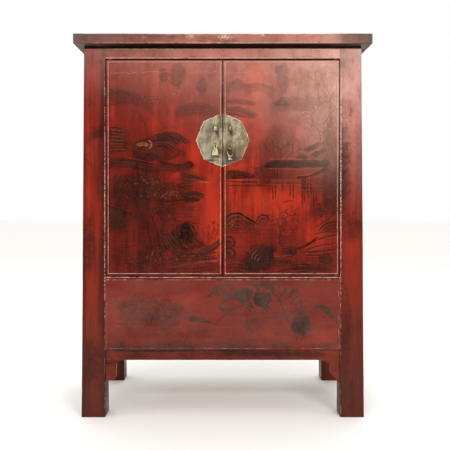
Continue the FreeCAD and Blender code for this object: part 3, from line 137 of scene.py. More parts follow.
class Finish:
    """A finish put together from shader nodes, one plain step at a time."""

    def __init__(self, name, roughness, gloss=0.10):
        self.material = bpy.data.materials.new(name)
        self.material.use_nodes = True
        self.tree = self.material.node_tree
        self.surface = self.tree.nodes["Principled BSDF"]
        self.surface.inputs["Roughness"].default_value = roughness
        self.surface.inputs["Specular IOR Level"].default_value = gloss
        self.place = self.tree.nodes.new("ShaderNodeTexCoord").outputs["Object"]

    def plug(self, value, socket):
        if isinstance(value, bpy.types.NodeSocket):
            self.tree.links.new(value, socket)
        elif socket.type == "RGBA":
            socket.default_value = (*value, 1)
        else:
            socket.default_value = value

    def node(self, kind, **inputs):
        made = self.tree.nodes.new(kind)
        for key, value in inputs.items():
            self.plug(value, made.inputs[key])
        return made

    def noise(self, stretch, detail=4.0, rough=0.55, shift=(0, 0, 0)):
        where = self.node("ShaderNodeMapping", Vector=self.place, Scale=stretch, Location=shift)
        return self.node("ShaderNodeTexNoise", Vector=where.outputs[0], Scale=1.0, Detail=detail,
                         Roughness=rough).outputs["Fac"]

    def reckon(self, operation, *values):
        made = self.tree.nodes.new("ShaderNodeMath")
        made.operation = operation
        for socket, value in zip(made.inputs, values):
            self.plug(value, socket)
        return made.outputs[0]

    def plus(self, first, second):
        return self.reckon("ADD", first, second)

    def times(self, first, second):
        return self.reckon("MULTIPLY", first, second)

    def spot(self):
        """The place on the cabinet, as its X, Y and Z."""
        return self.node("ShaderNodeSeparateXYZ", Vector=self.place).outputs

    def ease(self, value, low, high, start=0.0, end=1.0):
        """Turns a value from low..high into start..end, softly, and holds it at the ends."""
        made = self.tree.nodes.new("ShaderNodeMapRange")
        made.interpolation_type = "SMOOTHSTEP"
        for socket, number in zip(made.inputs, (value, low, high, start, end)):
            self.plug(number, socket)
        return made.outputs[0]

    def mark(self, name):
        made = self.tree.nodes.new("ShaderNodeAttribute")
        made.attribute_name = name
        return made.outputs["Fac"]

    def blend(self, share, first, second):
        made = self.tree.nodes.new("ShaderNodeMix")
        made.data_type = "RGBA"
        self.plug(share, made.inputs[0])
        self.plug(first, made.inputs[6])
        self.plug(second, made.inputs[7])
        return made.outputs[2]

    def chafed(self, shift, wear_starts, wear_ends):
        """Bare places: on the arrises, ragged at their edges."""
        chafe = self.noise((55, 55, 55), 5, 0.72, shift)
        return chafe, self.ease(self.plus(self.mark("arris"), self.times(chafe, 0.9)), wear_starts,
                                wear_ends)

    def dusty(self, colour, shift, grains, span, amount, dust_colour):
        """Loose dust, thicker in some places than in others."""
        dust = self.noise(grains, 6, 0.65, shift)
        return self.blend(self.ease(dust, *span, amount * 0.4, amount), colour, dust_colour)

    def dust_and_painted_sheen(self, colour, grime, amount, spared=0.0, run=FRONT_RUN, dust_and_sheen_colour=DOOR_DUST_AND_SHEEN):
        """The upper front is paled, partly with dust and mostly with a painted sheen in place of the
        window's gloss, most of all towards the window side; the raised dark pigment takes less of it."""
        spot = self.spot()
        level = self.plus(spot["Z"], self.times(spot["X"], 0.42))
        front = self.ease(spot["Y"], *run)
        corner = self.times(self.ease(spot["X"], 0.16, 0.44, 0.0, 0.30), self.ease(spot["Z"], 0.80, 1.06))
        corner = self.times(corner, self.ease(spot["X"], 0.433, 0.439, 1.0, 0.0))
        veil = self.plus(self.ease(level, 0.92, 1.62, 0.0, amount), corner)
        veil = self.times(veil, self.ease(grime, 0.25, 0.75, 1.2, 0.6))
        kept = self.reckon("SUBTRACT", 1.0, self.times(spared, 0.40))
        veil = self.times(self.times(veil, front), kept)
        return self.blend(veil, colour, dust_and_sheen_colour)

    def done(self, colour, roughness, height, strength=0.24, distance=0.0012):
        self.plug(colour, self.surface.inputs["Base Color"])
        self.plug(roughness, self.surface.inputs["Roughness"])
        bump = self.node("ShaderNodeBump", Strength=strength, Distance=distance, Height=height)
        self.plug(bump.outputs[0], self.surface.inputs["Normal"])
        return self.material


GRAIN = {"X": (2.2, 46, 46), "Y": (46, 2.2, 46), "Z": (46, 46, 2.2)}
BLACKENED = (0.020, 0.005, 0.004)
WORN_WHITE = (0.60, 0.40, 0.33)


def red_lacquer(name, grain, deep, bright, worn, seed=0.0, dust=0.0, wear=0.5, rough=0.34, foot=0.0,
                pale=0.0, neck=0.0, dirt_and_shade_bands=(), knocks=(), ends=(), dust_and_sheen_colour=DOOR_DUST_AND_SHEEN):
    """Old red lacquer over wood: patchy reds, streaks and hairline cracks along the grain,
    handling grime, and arrises worn through to the pale ground. Knocks are spots and bands, each
    its place, spread, strength and colour: chips, stains, and on the apron painted shadow.
    Towards the rear the colour darkens to brown. Light is painted in as well: dust and a painted
    sheen pale the upper front, painted shade lies where the mark "shade" is, the lacquer above
    the neck height is painted black as shade, and of the dark bands beside the posts' edges the
    inner ones are dirt and the outer ones painted shade."""
    paint = Finish(name, rough)
    shift = (seed, seed * 0.7, seed * 1.3)
    other = (seed * 1.3, seed, seed * 0.7)
    patches = paint.noise((4.0, 4.0, 3.0), 5, 0.6, shift)
    streaks = paint.noise(GRAIN[grain], 6, 0.62, shift)
    fine = paint.noise(scaled(GRAIN[grain], 5), 3, 0.6, shift)
    grime = paint.noise((16, 16, 12), 6, 0.7, other)
    tone = paint.plus(paint.ease(patches, 0.34, 0.66, 0.0, 0.6), paint.ease(streaks, 0.3, 0.72, 0.0, 0.5))
    colour = paint.blend(tone, deep, bright)
    colour = paint.blend(paint.ease(fine, 0.30, 0.50, 0.30, 0.0), colour, BLACKENED)
    colour = paint.blend(paint.ease(grime, 0.52, 0.74, 0.0, 0.6), colour, scaled(deep, 0.35))
    smear = paint.noise(scaled(GRAIN[grain], 0.22), 5, 0.6, other)
    colour = paint.blend(paint.ease(smear, 0.47, 0.66, 0.0, 0.74), colour, scaled(deep, 0.3))
    spot = paint.spot()
    height = spot["Z"]
    # Dark bands beside the posts' edges: dirt by the doors, painted shade down the outer edge.
    for band_fades_at, band_darkest_at, amount in dirt_and_shade_bands:
        beside = paint.ease(paint.reckon("ABSOLUTE", spot["X"]), band_fades_at, band_darkest_at, 0.0, amount)
        beside = paint.times(beside, paint.ease(smear, 0.35, 0.62, 0.35, 1.0))
        colour = paint.blend(beside, colour, scaled(deep, 0.22))
    # The lacquer is darker near the floor, in patches.
    if foot:
        darker_near_floor = paint.times(paint.ease(height, 0.05, 0.75, foot, 0.0),
                             paint.ease(grime, 0.25, 0.6, 0.55, 1.0))
        colour = paint.blend(darker_near_floor, colour, (0.060, 0.021, 0.013))
    # Dust and a painted sheen pale the upper front.
    if pale:
        colour = paint.dust_and_painted_sheen(colour, grime, pale, 0.0, TOP_RUN if ends else FRONT_RUN, dust_and_sheen_colour)
    if dust:
        colour = paint.dusty(colour, shift, (7, 7, 9), (0.35, 0.7), dust, (0.42, 0.24, 0.20))
    split = paint.noise(scaled(GRAIN[grain], 1.6), 2, 0.5, other)
    crack = paint.ease(paint.reckon("ABSOLUTE", paint.reckon("SUBTRACT", split, 0.5)), 0.0, 0.012, 1.0, 0.0)
    crack = paint.times(crack, paint.ease(grime, 0.45, 0.6))
    colour = paint.blend(paint.times(crack, 0.7), colour, BLACKENED)
    chafe, bare = paint.chafed(shift, 1.66 - wear * 0.4, 1.84 - wear * 0.4)
    colour = paint.blend(bare, colour, worn)
    if knocks:
        flake = paint.noise((190, 190, 230), 3, 0.6, other)
        behind = paint.ease(spot["Y"], -0.15, -0.10, 0.0, 9.0)
    for x, z, wide, high, amount, shown in knocks:
        aside = paint.times(paint.reckon("SUBTRACT", spot["X"], x), 1 / wide)
        above = paint.times(paint.reckon("SUBTRACT", height, z), 1 / high)
        reach = paint.plus(paint.times(aside, aside), paint.times(above, above))
        reach = paint.plus(reach, behind)
        edge = (flake, 5.0, 2.3, 3.1) if shown == WORN_WHITE else (chafe, 3.4, 1.2, 3.2)
        chip = paint.ease(paint.plus(reach, paint.times(*edge[:2])), *edge[2:], amount, 0.0)
        colour = paint.blend(chip, colour, shown)
    rear = paint.times(paint.ease(spot["Y"], 0.18, 0.262, 0.0, 0.78), paint.ease(grime, 0.3, 0.6, 0.72, 1.0))
    colour = paint.blend(rear, colour, (0.040, 0.017, 0.012))
    # Painted shade on the underside of an overhang, where the mark "shade" is.
    colour = paint.blend(paint.mark("shade"), colour, (0.026, 0.010, 0.007))
    if ends:
        beside = paint.ease(paint.plus(paint.reckon("ABSOLUTE", spot["X"]), paint.times(smear, 0.05)), *ends)
        colour = paint.blend(beside, colour, (0.095, 0.056, 0.044))
    # Above the neck height the lacquer is painted near black: painted shade under the top board.
    if neck:
        colour = paint.blend(paint.ease(height, neck - 0.001, neck + 0.001), colour, BLACKENED)
    shine = paint.plus(paint.ease(grime, 0.3, 0.7, rough - 0.08, rough + 0.16), paint.times(bare, 0.2))
    relief = paint.plus(paint.times(streaks, 0.7), paint.times(crack, -0.6))
    relief = paint.plus(relief, paint.times(grime, 0.35))
    return paint.done(colour, shine, relief)


def lumps(points, scale, seed):
    """Smooth lumps in space, from -1 to 1, for the unevenness of hand work."""
    table = np.random.default_rng(seed).uniform(-1, 1, (32, 32, 32))
    spot = points / scale + 1000.0
    cell = np.floor(spot).astype(int)
    part = spot - cell
    part = part * part * (3 - 2 * part)
    total = np.zeros(len(points))
    for corner in range(8):
        step = np.array([corner & 1, corner >> 1 & 1, corner >> 2 & 1])
        weight = np.prod(np.where(step, part, 1 - part), axis=1)
        index = (cell + step) % 32
        total += weight * table[index[:, 0], index[:, 1], index[:, 2]]
    return total


def whole_frame_surface():
    corners, faces = [], []
    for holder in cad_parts.values():
        start = len(corners)
        corners += [vert.co.copy() for vert in holder.data.vertices]
        faces += [[start + index for index in polygon.vertices] for polygon in holder.data.polygons]
    return BVHTree.FromPolygons(corners, faces)


frame_surface = whole_frame_surface()
CLEARANCE = 0.0025
FACET_TURN, ARRIS_TURN = math.radians(8), math.radians(28)
SHORTEST_ROW = 0.03


def run_of(edge):
    """The middle of an arris and the way that it runs."""
    start, end = (vert.co for vert in edge.verts)
    return (start + end) / 2, (end - start).normalized()


def into_face(face, middle, run):
    """The way from an arris into one of its two faces."""
    inward = face.normal.cross(run)
    if inward.dot(face.calc_center_median() - middle) < 0:
        inward.negate()
    return inward


def stands_free(edge):
    """An arris can be touched, and so wears, where nothing lies against either of its faces."""
    middle, run = run_of(edge)
    for face in edge.link_faces:
        spot = middle + into_face(face, middle, run) * 0.0015 + face.normal * 0.0003
        hit, facing, _, gap = frame_surface.ray_cast(spot, face.normal)
        if hit is not None and (gap < CLEARANCE or facing.dot(face.normal) > 0):
            return False
    return True


def softened(node, bevel):
    """The node's own mesh with its free arrises eased, and the faces of that easing marked."""
    low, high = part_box(node)
    bm = bmesh.new()
    bm.from_mesh(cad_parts[node].data)
    bmesh.ops.remove_doubles(bm, verts=bm.verts, dist=1e-5)
    bmesh.ops.dissolve_limit(bm, angle_limit=math.radians(1), verts=bm.verts, edges=bm.edges)
    eased = bm.faces.layers.int.new("eased")
    turns = {edge: edge.calc_face_angle_signed(0) for edge in bm.edges if edge.is_manifold}
    rounded = [edge for edge, turn in turns.items() if FACET_TURN < turn < ARRIS_TURN and stands_free(edge)]
    for edge in rounded:
        for face in edge.link_faces:
            longest = max(side.calc_length() for side in face.edges)
            if face.calc_area() / longest < 0.003:
                face[eased] = 1
    sharp = [edge for edge, turn in turns.items() if turn > ARRIS_TURN and edge.calc_length() > 0.002
             and stands_free(edge)]
    rows = []
    for edge in sharp + rounded:
        if edge.calc_length() >= SHORTEST_ROW:
            middle, run = run_of(edge)
            rows += [(middle, into_face(face, middle, run)) for face in edge.link_faces]
    if bevel:
        made = bmesh.ops.bevel(bm, geom=sharp, offset=bevel, offset_type="OFFSET", segments=2, profile=0.5,
                               affect="EDGES", clamp_overlap=True)
        for face in made["faces"]:
            face[eased] = 1
    reach = max(max(low[axis] - vert.co[axis], vert.co[axis] - high[axis]) for vert in bm.verts
                for axis in range(3))
    return bm, eased, rows, reach


def planed(node, finish, body="carcass", bevel=0.0016, margin=0.004, pitch=0.02, wobble=0.0004, seed=1,
           lattice=0.0, kept=None, overhang=False):
    """Dresses a timber: eased arrises, a row of points beside each for the wear to run out on,
    and a slight unevenness along the grain. Between two kept distances from the middle, the
    arrises are not rubbed. The underside of an overhang is marked "shade", and there the
    finish paints shade."""
    low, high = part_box(node)
    for attempt in (bevel, bevel / 2, 0.0):
        bm, eased, rows, reach = softened(node, attempt)
        if reach < 2e-4:
            break
        bm.free()
    size = high - low
    axis = max(range(3), key=lambda number: size[number])
    cuts = {}
    for middle, inward in rows:
        spot = middle + inward * (attempt + margin)
        key = (*(round(value, 2) for value in inward), round(spot.dot(inward), 3))
        cuts[key] = (spot, inward)
    steps = [(axis, pitch)] + ([(0, lattice), (2, lattice)] if lattice else [])
    for way, step in steps:
        count = int(size[way] / step)
        normal = Vector([float(number == way) for number in range(3)])
        for number in range(1, count):
            spot = low.copy()
            spot[way] += size[way] * number / count
            cuts[way, number] = (spot, normal)
    for spot, normal in cuts.values():
        bmesh.ops.bisect_plane(bm, geom=bm.verts[:] + bm.edges[:] + bm.faces[:], plane_co=spot,
                               plane_no=normal, dist=1e-6)
    bmesh.ops.triangulate(bm, faces=bm.faces)
    arris = bm.verts.layers.float.new("arris")
    for vert in bm.verts:
        vert[arris] = float(any(face[eased] for face in vert.link_faces))
    places = np.array([vert.co for vert in bm.verts])
    at_arris = np.array([vert[arris] for vert in bm.verts])
    if overhang:
        shade = bm.verts.layers.float.new("shade")
        for vert in bm.verts:
            vert[shade] = float(any(face.normal.z < -0.9 for face in vert.link_faces))
    if kept:
        reach = np.abs(places[:, 0])
        at_arris[(reach > kept[0]) & (reach < kept[1])] = 0
        for vert, mark in zip(bm.verts, at_arris):
            vert[arris] = mark
    inward = np.sign(np.array((low + high) / 2) - places)
    outer = np.minimum(places - np.array(low), np.array(high) - places) < 0.004
    depth = 0.5 + 0.5 * lumps(places, 0.045, seed)
    nick = np.clip(lumps(places, 0.011, seed + 1) - 0.45, 0, 1) * 2.2 * (at_arris > 0.5)
    move = inward * outer * (wobble * (depth + 1.6 * nick))[:, None]
    move[:, axis] = 0
    for vert, step in zip(bm.verts, move):
        vert.co += Vector(step)
    mesh = bpy.data.meshes.new(node + "_timber")
    bm.to_mesh(mesh)
    bm.free()
    piece = placed(node + "_timber", mesh)
    mesh.materials.append(finish)
    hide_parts(node)
    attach(piece, body)


WORN_PALE = (0.50, 0.30, 0.23)
WORN_PINK = (0.40, 0.17, 0.12)
NECK_HEIGHT = 1.3715
TOP_KNOCKS = ((0.008, 1.404, 0.034, 0.013, 0.9, WORN_WHITE),
              (-0.118, 1.407, 0.022, 0.010, 0.7, WORN_WHITE),
              (0.148, 1.412, 0.010, 0.006, 0.9, WORN_WHITE),
              (-0.290, 1.406, 0.010, 0.010, 0.6, WORN_WHITE),
              (0.012, 1.394, 0.050, 0.012, 0.7, (0.09, 0.045, 0.032)),
              (-0.330, 1.400, 0.180, 0.030, 0.6, (0.09, 0.030, 0.026)))
# Dust and a painted sheen on the front, painted shade on the underside.
top_lacquer = red_lacquer("top_lacquer", "X", (0.13, 0.026, 0.019), (0.27, 0.046, 0.030), WORN_WHITE,
                          seed=3.0, dust=0.10, wear=1.0, rough=0.40, pale=0.30, knocks=TOP_KNOCKS,
                          ends=(0.34, 0.56, 0.0, 0.88))
for index, node in enumerate(("top_board", "top_end_left", "top_end_right")):
    planed(node, top_lacquer, bevel=0.0022, margin=0.006, wobble=0.0009, seed=11 + index,
           kept=(0.485, 0.525), overhang=True)

# The four posts: square timbers, upright inside and splayed outside, that run down as the
# feet. The lacquer is bright at the middle and darker, in patches, near the floor. A painted
# sheen pales their upper part, and above the neck they are painted black as shade. A dark band
# of dirt runs beside the doors, and one of painted shade down the outer edge.

POST_KNOCKS = ((-0.455, 1.060, 0.050, 0.030, 0.85, BLACKENED),
               (-0.500, 0.640, 0.030, 0.120, 0.75, BLACKENED),
               (0.450, 0.930, 0.030, 0.200, 0.75, BLACKENED),
               (0.490, 0.700, 0.050, 0.060, 0.65, BLACKENED),
               (-0.480, 0.200, 0.040, 0.090, 0.55, BLACKENED),
               (0.460, 0.320, 0.020, 0.160, 0.60, BLACKENED),
               (0.4390, 0.900, 0.0042, 0.60, 0.80, WORN_WHITE),
               (-0.4385, 0.760, 0.0036, 0.55, 0.60, WORN_WHITE))
# Posts: a painted sheen above, black painted shade over the neck, dirt by the doors and painted shade down
# the outer edge.
post_lacquer = red_lacquer("post_lacquer", "Z", (0.12, 0.010, 0.005), (0.33, 0.025, 0.008), WORN_PINK,
                           seed=8.0, wear=0.55, foot=0.80, pale=0.64, neck=NECK_HEIGHT,
                           dust_and_sheen_colour=(0.58, 0.400, 0.345), dirt_and_shade_bands=((0.470, 0.438, 0.85), (0.500, 0.524, 0.7)),
                           knocks=POST_KNOCKS)
for index, node in enumerate(("post_front_left", "post_front_right", "post_rear_left", "post_rear_right")):
    planed(node, post_lacquer, seed=20 + index, wobble=0.0006)

# The rails of the front: the top rail with its neck under the top, painted black as shade, the
# sill under the doors, and the apron with its two brackets, tenoned between the posts with the
# grain lying across. A painted sheen pales the top rail, and bands of painted shadow lie along
# the apron's top.

RAIL_KNOCKS = ((0.0, 0.5130, 0.9, 0.0085, 0.75, BLACKENED),)
# A painted sheen on the upper front, and black painted shade above the neck.
rail_lacquer = red_lacquer("rail_lacquer", "X", (0.13, 0.014, 0.008), (0.34, 0.034, 0.014), WORN_WHITE,
                           seed=14.0, wear=0.9, pale=0.56, neck=NECK_HEIGHT, knocks=RAIL_KNOCKS)
for index, node in enumerate(("top_rail_front", "door_sill_rail")):
    planed(node, rail_lacquer, seed=30 + index, wobble=0.0005)
# Bands of painted shadow along the apron's top, under the foot of the panel.
APRON_SHADOW = (0.022, 0.010, 0.007)
APRON_KNOCKS = ((0.130, 0.2340, 0.200, 0.013, 0.90, APRON_SHADOW),
                (-0.240, 0.2460, 0.190, 0.008, 0.90, APRON_SHADOW),
                (0.020, 0.2480, 0.080, 0.010, 0.95, APRON_SHADOW),
                (0.330, 0.2300, 0.060, 0.016, 0.65, APRON_SHADOW),
                (-0.330, 0.2260, 0.060, 0.012, 0.60, APRON_SHADOW))
apron_lacquer = red_lacquer("apron_lacquer", "X", (0.075, 0.013, 0.008), (0.18, 0.028, 0.014), WORN_PINK,
                            seed=15.0, wear=0.6, knocks=APRON_KNOCKS)
for index, node in enumerate(("apron_front", "spandrel_left", "spandrel_right")):
    planed(node, apron_lacquer, seed=34 + index, wobble=0.0004, lattice=0.003 if index else 0.0)

# The sides and the back: rails tenoned between the posts and thin panels in grooves, under a
# thinner, duller coat. Behind, the four boards, the two battens and the rear rails are bare.

side_lacquer = red_lacquer("side_lacquer", "Z", (0.080, 0.014, 0.008), (0.19, 0.024, 0.010),
                           (0.36, 0.22, 0.16), seed=27.0, wear=0.6, rough=0.44, foot=0.5)
side_rail_lacquer = red_lacquer("side_rail_lacquer", "Y", (0.09, 0.015, 0.008), (0.20, 0.025, 0.010),
                                (0.36, 0.22, 0.16), seed=29.0, wear=0.6, rough=0.44)
for index, node in enumerate(("top_rail_left", "top_rail_right", "side_mid_rail_left", "side_mid_rail_right",
                              "bottom_rail_left", "bottom_rail_right")):
    planed(node, side_rail_lacquer, seed=40 + index)
for index, node in enumerate(("side_panel_left_upper", "side_panel_right_upper", "side_panel_left_lower",
                              "side_panel_right_lower")):
    planed(node, side_lacquer, seed=50 + index, wobble=0.0006)


def bare_wood(name, grain, dark, light, seed=0.0, board=0.0, damp=0.0):
    """Unpainted wood gone brown with age: growth bands that bend round small knots, fine
    pores and dry dust. Boards of one width side by side each have a grain and tone of their own,
    and damp from the floor has darkened their feet."""
    timber = Finish(name, 0.72, 0.2)
    spot = timber.spot()
    own = 0.0
    if board:
        number = timber.reckon("FLOOR", timber.times(spot["X"], 1 / board))
        own = timber.reckon("SINE", timber.times(number, 4.3))
        away = timber.node("ShaderNodeCombineXYZ", X=timber.times(number, 3.7),
                           Z=timber.times(number, 1.9)).outputs[0]
        timber.place = timber.node("ShaderNodeMapping", Vector=timber.place, Location=away).outputs[0]
    shift = (seed, seed * 1.7, seed * 0.6)
    where = timber.node("ShaderNodeMapping", Vector=timber.place, Location=shift,
                        Scale=scaled(GRAIN[grain], 0.13))
    knots = timber.node("ShaderNodeTexVoronoi", Vector=where.outputs[0], Scale=1.0).outputs["Distance"]
    bands = timber.noise(scaled(GRAIN[grain], 0.4), 3, 0.5, shift)
    bent = timber.plus(bands, timber.ease(knots, 0.0, 0.34, 0.20, 0.0))
    rings = timber.reckon("SINE", timber.times(bent, 74.0))
    pores = timber.noise(scaled(GRAIN[grain], 6), 3, 0.6, shift)
    stain = timber.noise((6, 6, 4), 5, 0.65, shift)
    tone = timber.plus(timber.ease(rings, -0.9, 1.3, 0.16, 0.66), timber.times(own, 0.13))
    colour = timber.blend(timber.plus(tone, timber.ease(stain, 0.3, 0.7, 0.16, -0.16)), dark, light)
    colour = timber.blend(timber.ease(pores, 0.32, 0.5, 0.5, 0.0), colour, (0.04, 0.024, 0.016))
    colour = timber.blend(timber.ease(stain, 0.48, 0.72, 0.0, 0.5), colour, scaled(dark, 0.45))
    colour = timber.blend(timber.ease(knots, 0.045, 0.085, 0.85, 0.0), colour, (0.030, 0.014, 0.008))
    if damp:
        wet = timber.plus(spot["Z"], timber.times(stain, 0.5))
        colour = timber.blend(timber.ease(wet, 0.45, 0.80, damp, 0.0), colour, (0.035, 0.023, 0.017))
    shine = timber.ease(stain, 0.3, 0.7, 0.66, 0.82)
    relief = timber.plus(timber.times(rings, 0.10), pores)
    return timber.done(colour, shine, relief, 0.3, 0.0008)


BOARD_WIDTH = 0.2235
SLIP_WIDTH, SLIP_HEIGHT, SLIP_THICKNESS = 0.004, 1.06, 0.0012
SLIP_DEPTH, SLIP_MIDDLE, JOINT_OFFSET = 0.2283, 0.792, 0.0003
rear_boards = bare_wood("rear_boards", "Z", (0.085, 0.050, 0.029), (0.22, 0.140, 0.085), 4.0, BOARD_WIDTH,
                        0.7)
rear_rails = bare_wood("rear_rails", "X", (0.085, 0.050, 0.028), (0.20, 0.125, 0.074), 6.0, damp=0.5)
planed("back_boards", rear_boards, seed=60)


def turned_out(bm, mesh):
    """Turns every face outward and writes the shape to its mesh."""
    bmesh.ops.recalc_face_normals(bm, faces=bm.faces)
    bm.to_mesh(mesh)
    bm.free()


slips = bmesh.new()
for place in (-BOARD_WIDTH, 0.0, BOARD_WIDTH):
    slip = bmesh.ops.create_grid(slips, x_segments=1, y_segments=24, size=0.5)["verts"]
    for vert in slip:
        vert.co = Vector((place - JOINT_OFFSET + vert.co.x * SLIP_WIDTH, SLIP_DEPTH,
                          SLIP_MIDDLE + vert.co.y * SLIP_HEIGHT))
    faces = list({face for vert in slip for face in vert.link_faces})
    bmesh.ops.solidify(slips, geom=faces, thickness=SLIP_THICKNESS)
slip_mesh = bpy.data.meshes.new("back_joint_slips")
turned_out(slips, slip_mesh)
slip_piece = placed("back_joint_slips", slip_mesh)
slip_mesh.materials.append(rear_rails)
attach(slip_piece, "carcass")
for index, node in enumerate(("back_battens", "top_rail_rear", "bottom_rail_rear")):
    planed(node, rear_rails, seed=61 + index)

# Inside, all of bare wood: the bottom boards and the rail before them, the shelf, the drawer
# floor with its divider and cheeks, the bearers, and the two lift-out lids over the hidden
# space under the doors.

inner_boards = bare_wood("inner_boards", "X", (0.22, 0.130, 0.070), (0.36, 0.230, 0.135), 9.0)
inner_bearers = bare_wood("inner_bearers", "Y", (0.18, 0.105, 0.058), (0.30, 0.190, 0.110), 12.0)
for node in ("bottom_boards", "shelf_board", "drawer_floor", "bottom_rail_front"):
    planed(node, inner_boards, seed=70)
for node in ("floor_bearer", "drawer_divider", "shelf_bearers", "drawer_cheeks"):
    planed(node, inner_bearers, seed=74)
for side in ("left", "right"):
    planed(f"compartment_lid_{side}", inner_boards, body=f"lid_{side}", seed=78)


# The painted lower panel: one board with the grain across, lacquered red and painted in dark
# pigment with fruit sprays and a faded clump of leaves, inside a narrow raised bead.

def all_round(count):
    """Even turns round a circle."""
    return np.linspace(0, 2 * math.pi, count + 1)[:-1]


def oval(centre, reach):
    return [(centre[0] + reach[0] * math.cos(turn), centre[1] + reach[1] * math.sin(turn))
            for turn in all_round(8)]


class Painting:
    """A painted face: u runs to the right and w down from its upper left corner, in
    millimetres. Later strokes lie over earlier ones."""

    def __init__(self, u, w, seed):
        self.u, self.w, self.seed = u, w, seed
        self.tone = np.full(len(u), 0.5)
        self.ink = np.zeros(len(u))
        self.gold = np.zeros(len(u))
        self.rubbed = np.clip(0.5 + 0.35 * self.cloud(14, 1) + 0.45 * self.cloud(4, 6, octaves=2), 0, 1)
        self.ragged = self.cloud(18, 2)
        self.uneven = self.cloud(7, 8, octaves=2)
        self.random = np.random.default_rng(seed)

    def cloud(self, scale, seed, stretch=(1, 1), octaves=3):
        spot = np.stack([self.u / stretch[0], self.w / stretch[1], np.full(len(self.u), seed * 7.3)], axis=1)
        total = sum(lumps(spot, scale / 2 ** octave, self.seed + seed + octave) / 2 ** octave
                    for octave in range(octaves))
        return np.clip(total, -1, 1)

    def around(self, points, reach):
        low, high = np.min(points, axis=0) - reach, np.max(points, axis=0) + reach
        return np.flatnonzero((self.u > low[0]) & (self.u < high[0]) & (self.w > low[1])
                              & (self.w < high[1]))

    def gap_to(self, index, line):
        """How far each spot is from a line, and how far along the line it is."""
        spots = np.stack([self.u[index], self.w[index]], axis=1)
        gap = np.full(len(index), 1e9)
        share = np.zeros(len(index))
        for number in range(len(line) - 1):
            start, run = line[number], line[number + 1] - line[number]
            part = np.clip((spots - start) @ run / max(run @ run, 1e-9), 0, 1)
            here = np.hypot(*(spots - start - part[:, None] * run).T)
            closer = here < gap
            gap[closer] = here[closer]
            share[closer] = (number + part[closer]) / (len(line) - 1)
        return gap, share

    def lay(self, index, cover, layer):
        cover = np.clip(cover, 0, 1)
        if layer == "gold":
            self.gold[index] = np.maximum(self.gold[index], cover)
        elif layer == "red":
            self.ink[index] *= 1 - cover
            self.gold[index] *= 1 - cover
        else:
            self.gold[index] *= 1 - cover
            self.ink[index] = np.maximum(self.ink[index], cover)

    def stroke(self, line, width, strength=0.9, layer="ink", start=0.2, end=0.3, rub=0.35, bent=True):
        """A brush stroke that swells from a thin start and runs out to a thin end."""
        line = np.array(line, dtype=float)
        if bent and len(line) > 2:
            line = curved(line)
        index = self.around(line, width)
        gap, share = self.gap_to(index, line)
        swell = np.minimum(1, np.minimum(share / max(start, 1e-3), (1 - share) / max(end, 1e-3)))
        half = width / 2 * (0.3 + 0.7 * np.sqrt(np.clip(swell, 0, 1))) * (1 + 0.4 * self.uneven[index])
        cover = np.clip((half - gap) / 1.3 + 0.5, 0, 1) * strength
        if layer == "gold":
            rub = max(rub, 0.75)
        self.lay(index, cover * (1 - rub * self.rubbed[index]), layer)

    def wash(self, outline, strength=0.8, soft=6.0, torn=5.0, layer="ink", fade=0.0, rub=0.35, bent=True):
        """A patch of thin colour with an uneven edge. With fade, it thins out downwards."""
        closed = np.array(list(outline) + [outline[0]], dtype=float)
        if bent:
            closed = curved(closed)
        index = self.around(closed, soft + torn)
        gap, _ = self.gap_to(index, closed)
        spots = np.stack([self.u[index], self.w[index]], axis=1)
        inside = np.zeros(len(index), dtype=bool)
        for (u0, w0), (u1, w1) in zip(closed[:-1], closed[1:]):
            crossing = (w0 > spots[:, 1]) != (w1 > spots[:, 1])
            reach = u0 + (spots[:, 1] - w0) * (u1 - u0) / (w1 - w0 if w1 != w0 else 1e-9)
            inside ^= crossing & (spots[:, 0] < reach)
        depth = np.where(inside, gap, -gap) + torn * self.ragged[index]
        cover = np.clip(depth / soft + 0.5, 0, 1) * strength
        if fade:
            top, foot = closed[:, 1].min(), closed[:, 1].max()
            cover *= 1 - fade * np.clip((spots[:, 1] - top) / (foot - top), 0, 1)
        self.lay(index, cover * (1 - rub * self.rubbed[index]), layer)

    def dabs(self, area, count, size, strength=0.8, layer="ink", slant=None):
        """Leaves and moss: short touches of the brush scattered over an area."""
        low, high = np.min(area, axis=0), np.max(area, axis=0)
        centre, half = (low + high) / 2, (high - low) / 2
        for _ in range(count):
            turn, reach = self.random.uniform(0, 2 * math.pi), math.sqrt(self.random.uniform(0, 1))
            spot = centre + half * reach * np.array([math.cos(turn), math.sin(turn)])
            lean = self.random.uniform(0, math.pi) if slant is None \
                else math.radians(slant) + self.random.normal(0, 0.35)
            long = size * self.random.uniform(0.5, 1.1)
            step = np.array([math.cos(lean), -math.sin(lean)]) * long / 2
            self.stroke([spot - step, spot + step], long * 0.62, strength * self.random.uniform(0.5, 1),
                        layer, 0.5, 0.5)


def curved(line):
    """Rounds a few given points into a smooth run, the way a brush moves."""
    ahead = np.vstack([2 * line[0] - line[1], line, 2 * line[-1] - line[-2]])
    run = []
    for number in range(1, len(ahead) - 2):
        before, here, there, after = ahead[number - 1:number + 3]
        for part in np.linspace(0, 1, 6)[:-1]:
            run.append(0.5 * (2 * here + (there - before) * part
                              + (2 * before - 5 * here + 4 * there - after) * part ** 2
                              + (3 * here - before - 3 * there + after) * part ** 3))
    run.append(line[-1])
    return np.array(run)


def spread(start, end, pitch, tight):
    """Places from start to end, closer together in the given strips beside both ends."""
    inner = np.linspace(start + tight[-1], end - tight[-1],
                        max(2, int((end - start - 2 * tight[-1]) / pitch)))
    return np.concatenate([start + np.array(tight[:-1]), inner, end - np.array(tight[:-1])[::-1]])


HAND_WAVE, BEAD_REACH = 0.05, 10
GILT_RELIEF, DARK_RELIEF = 0.24, 0.13


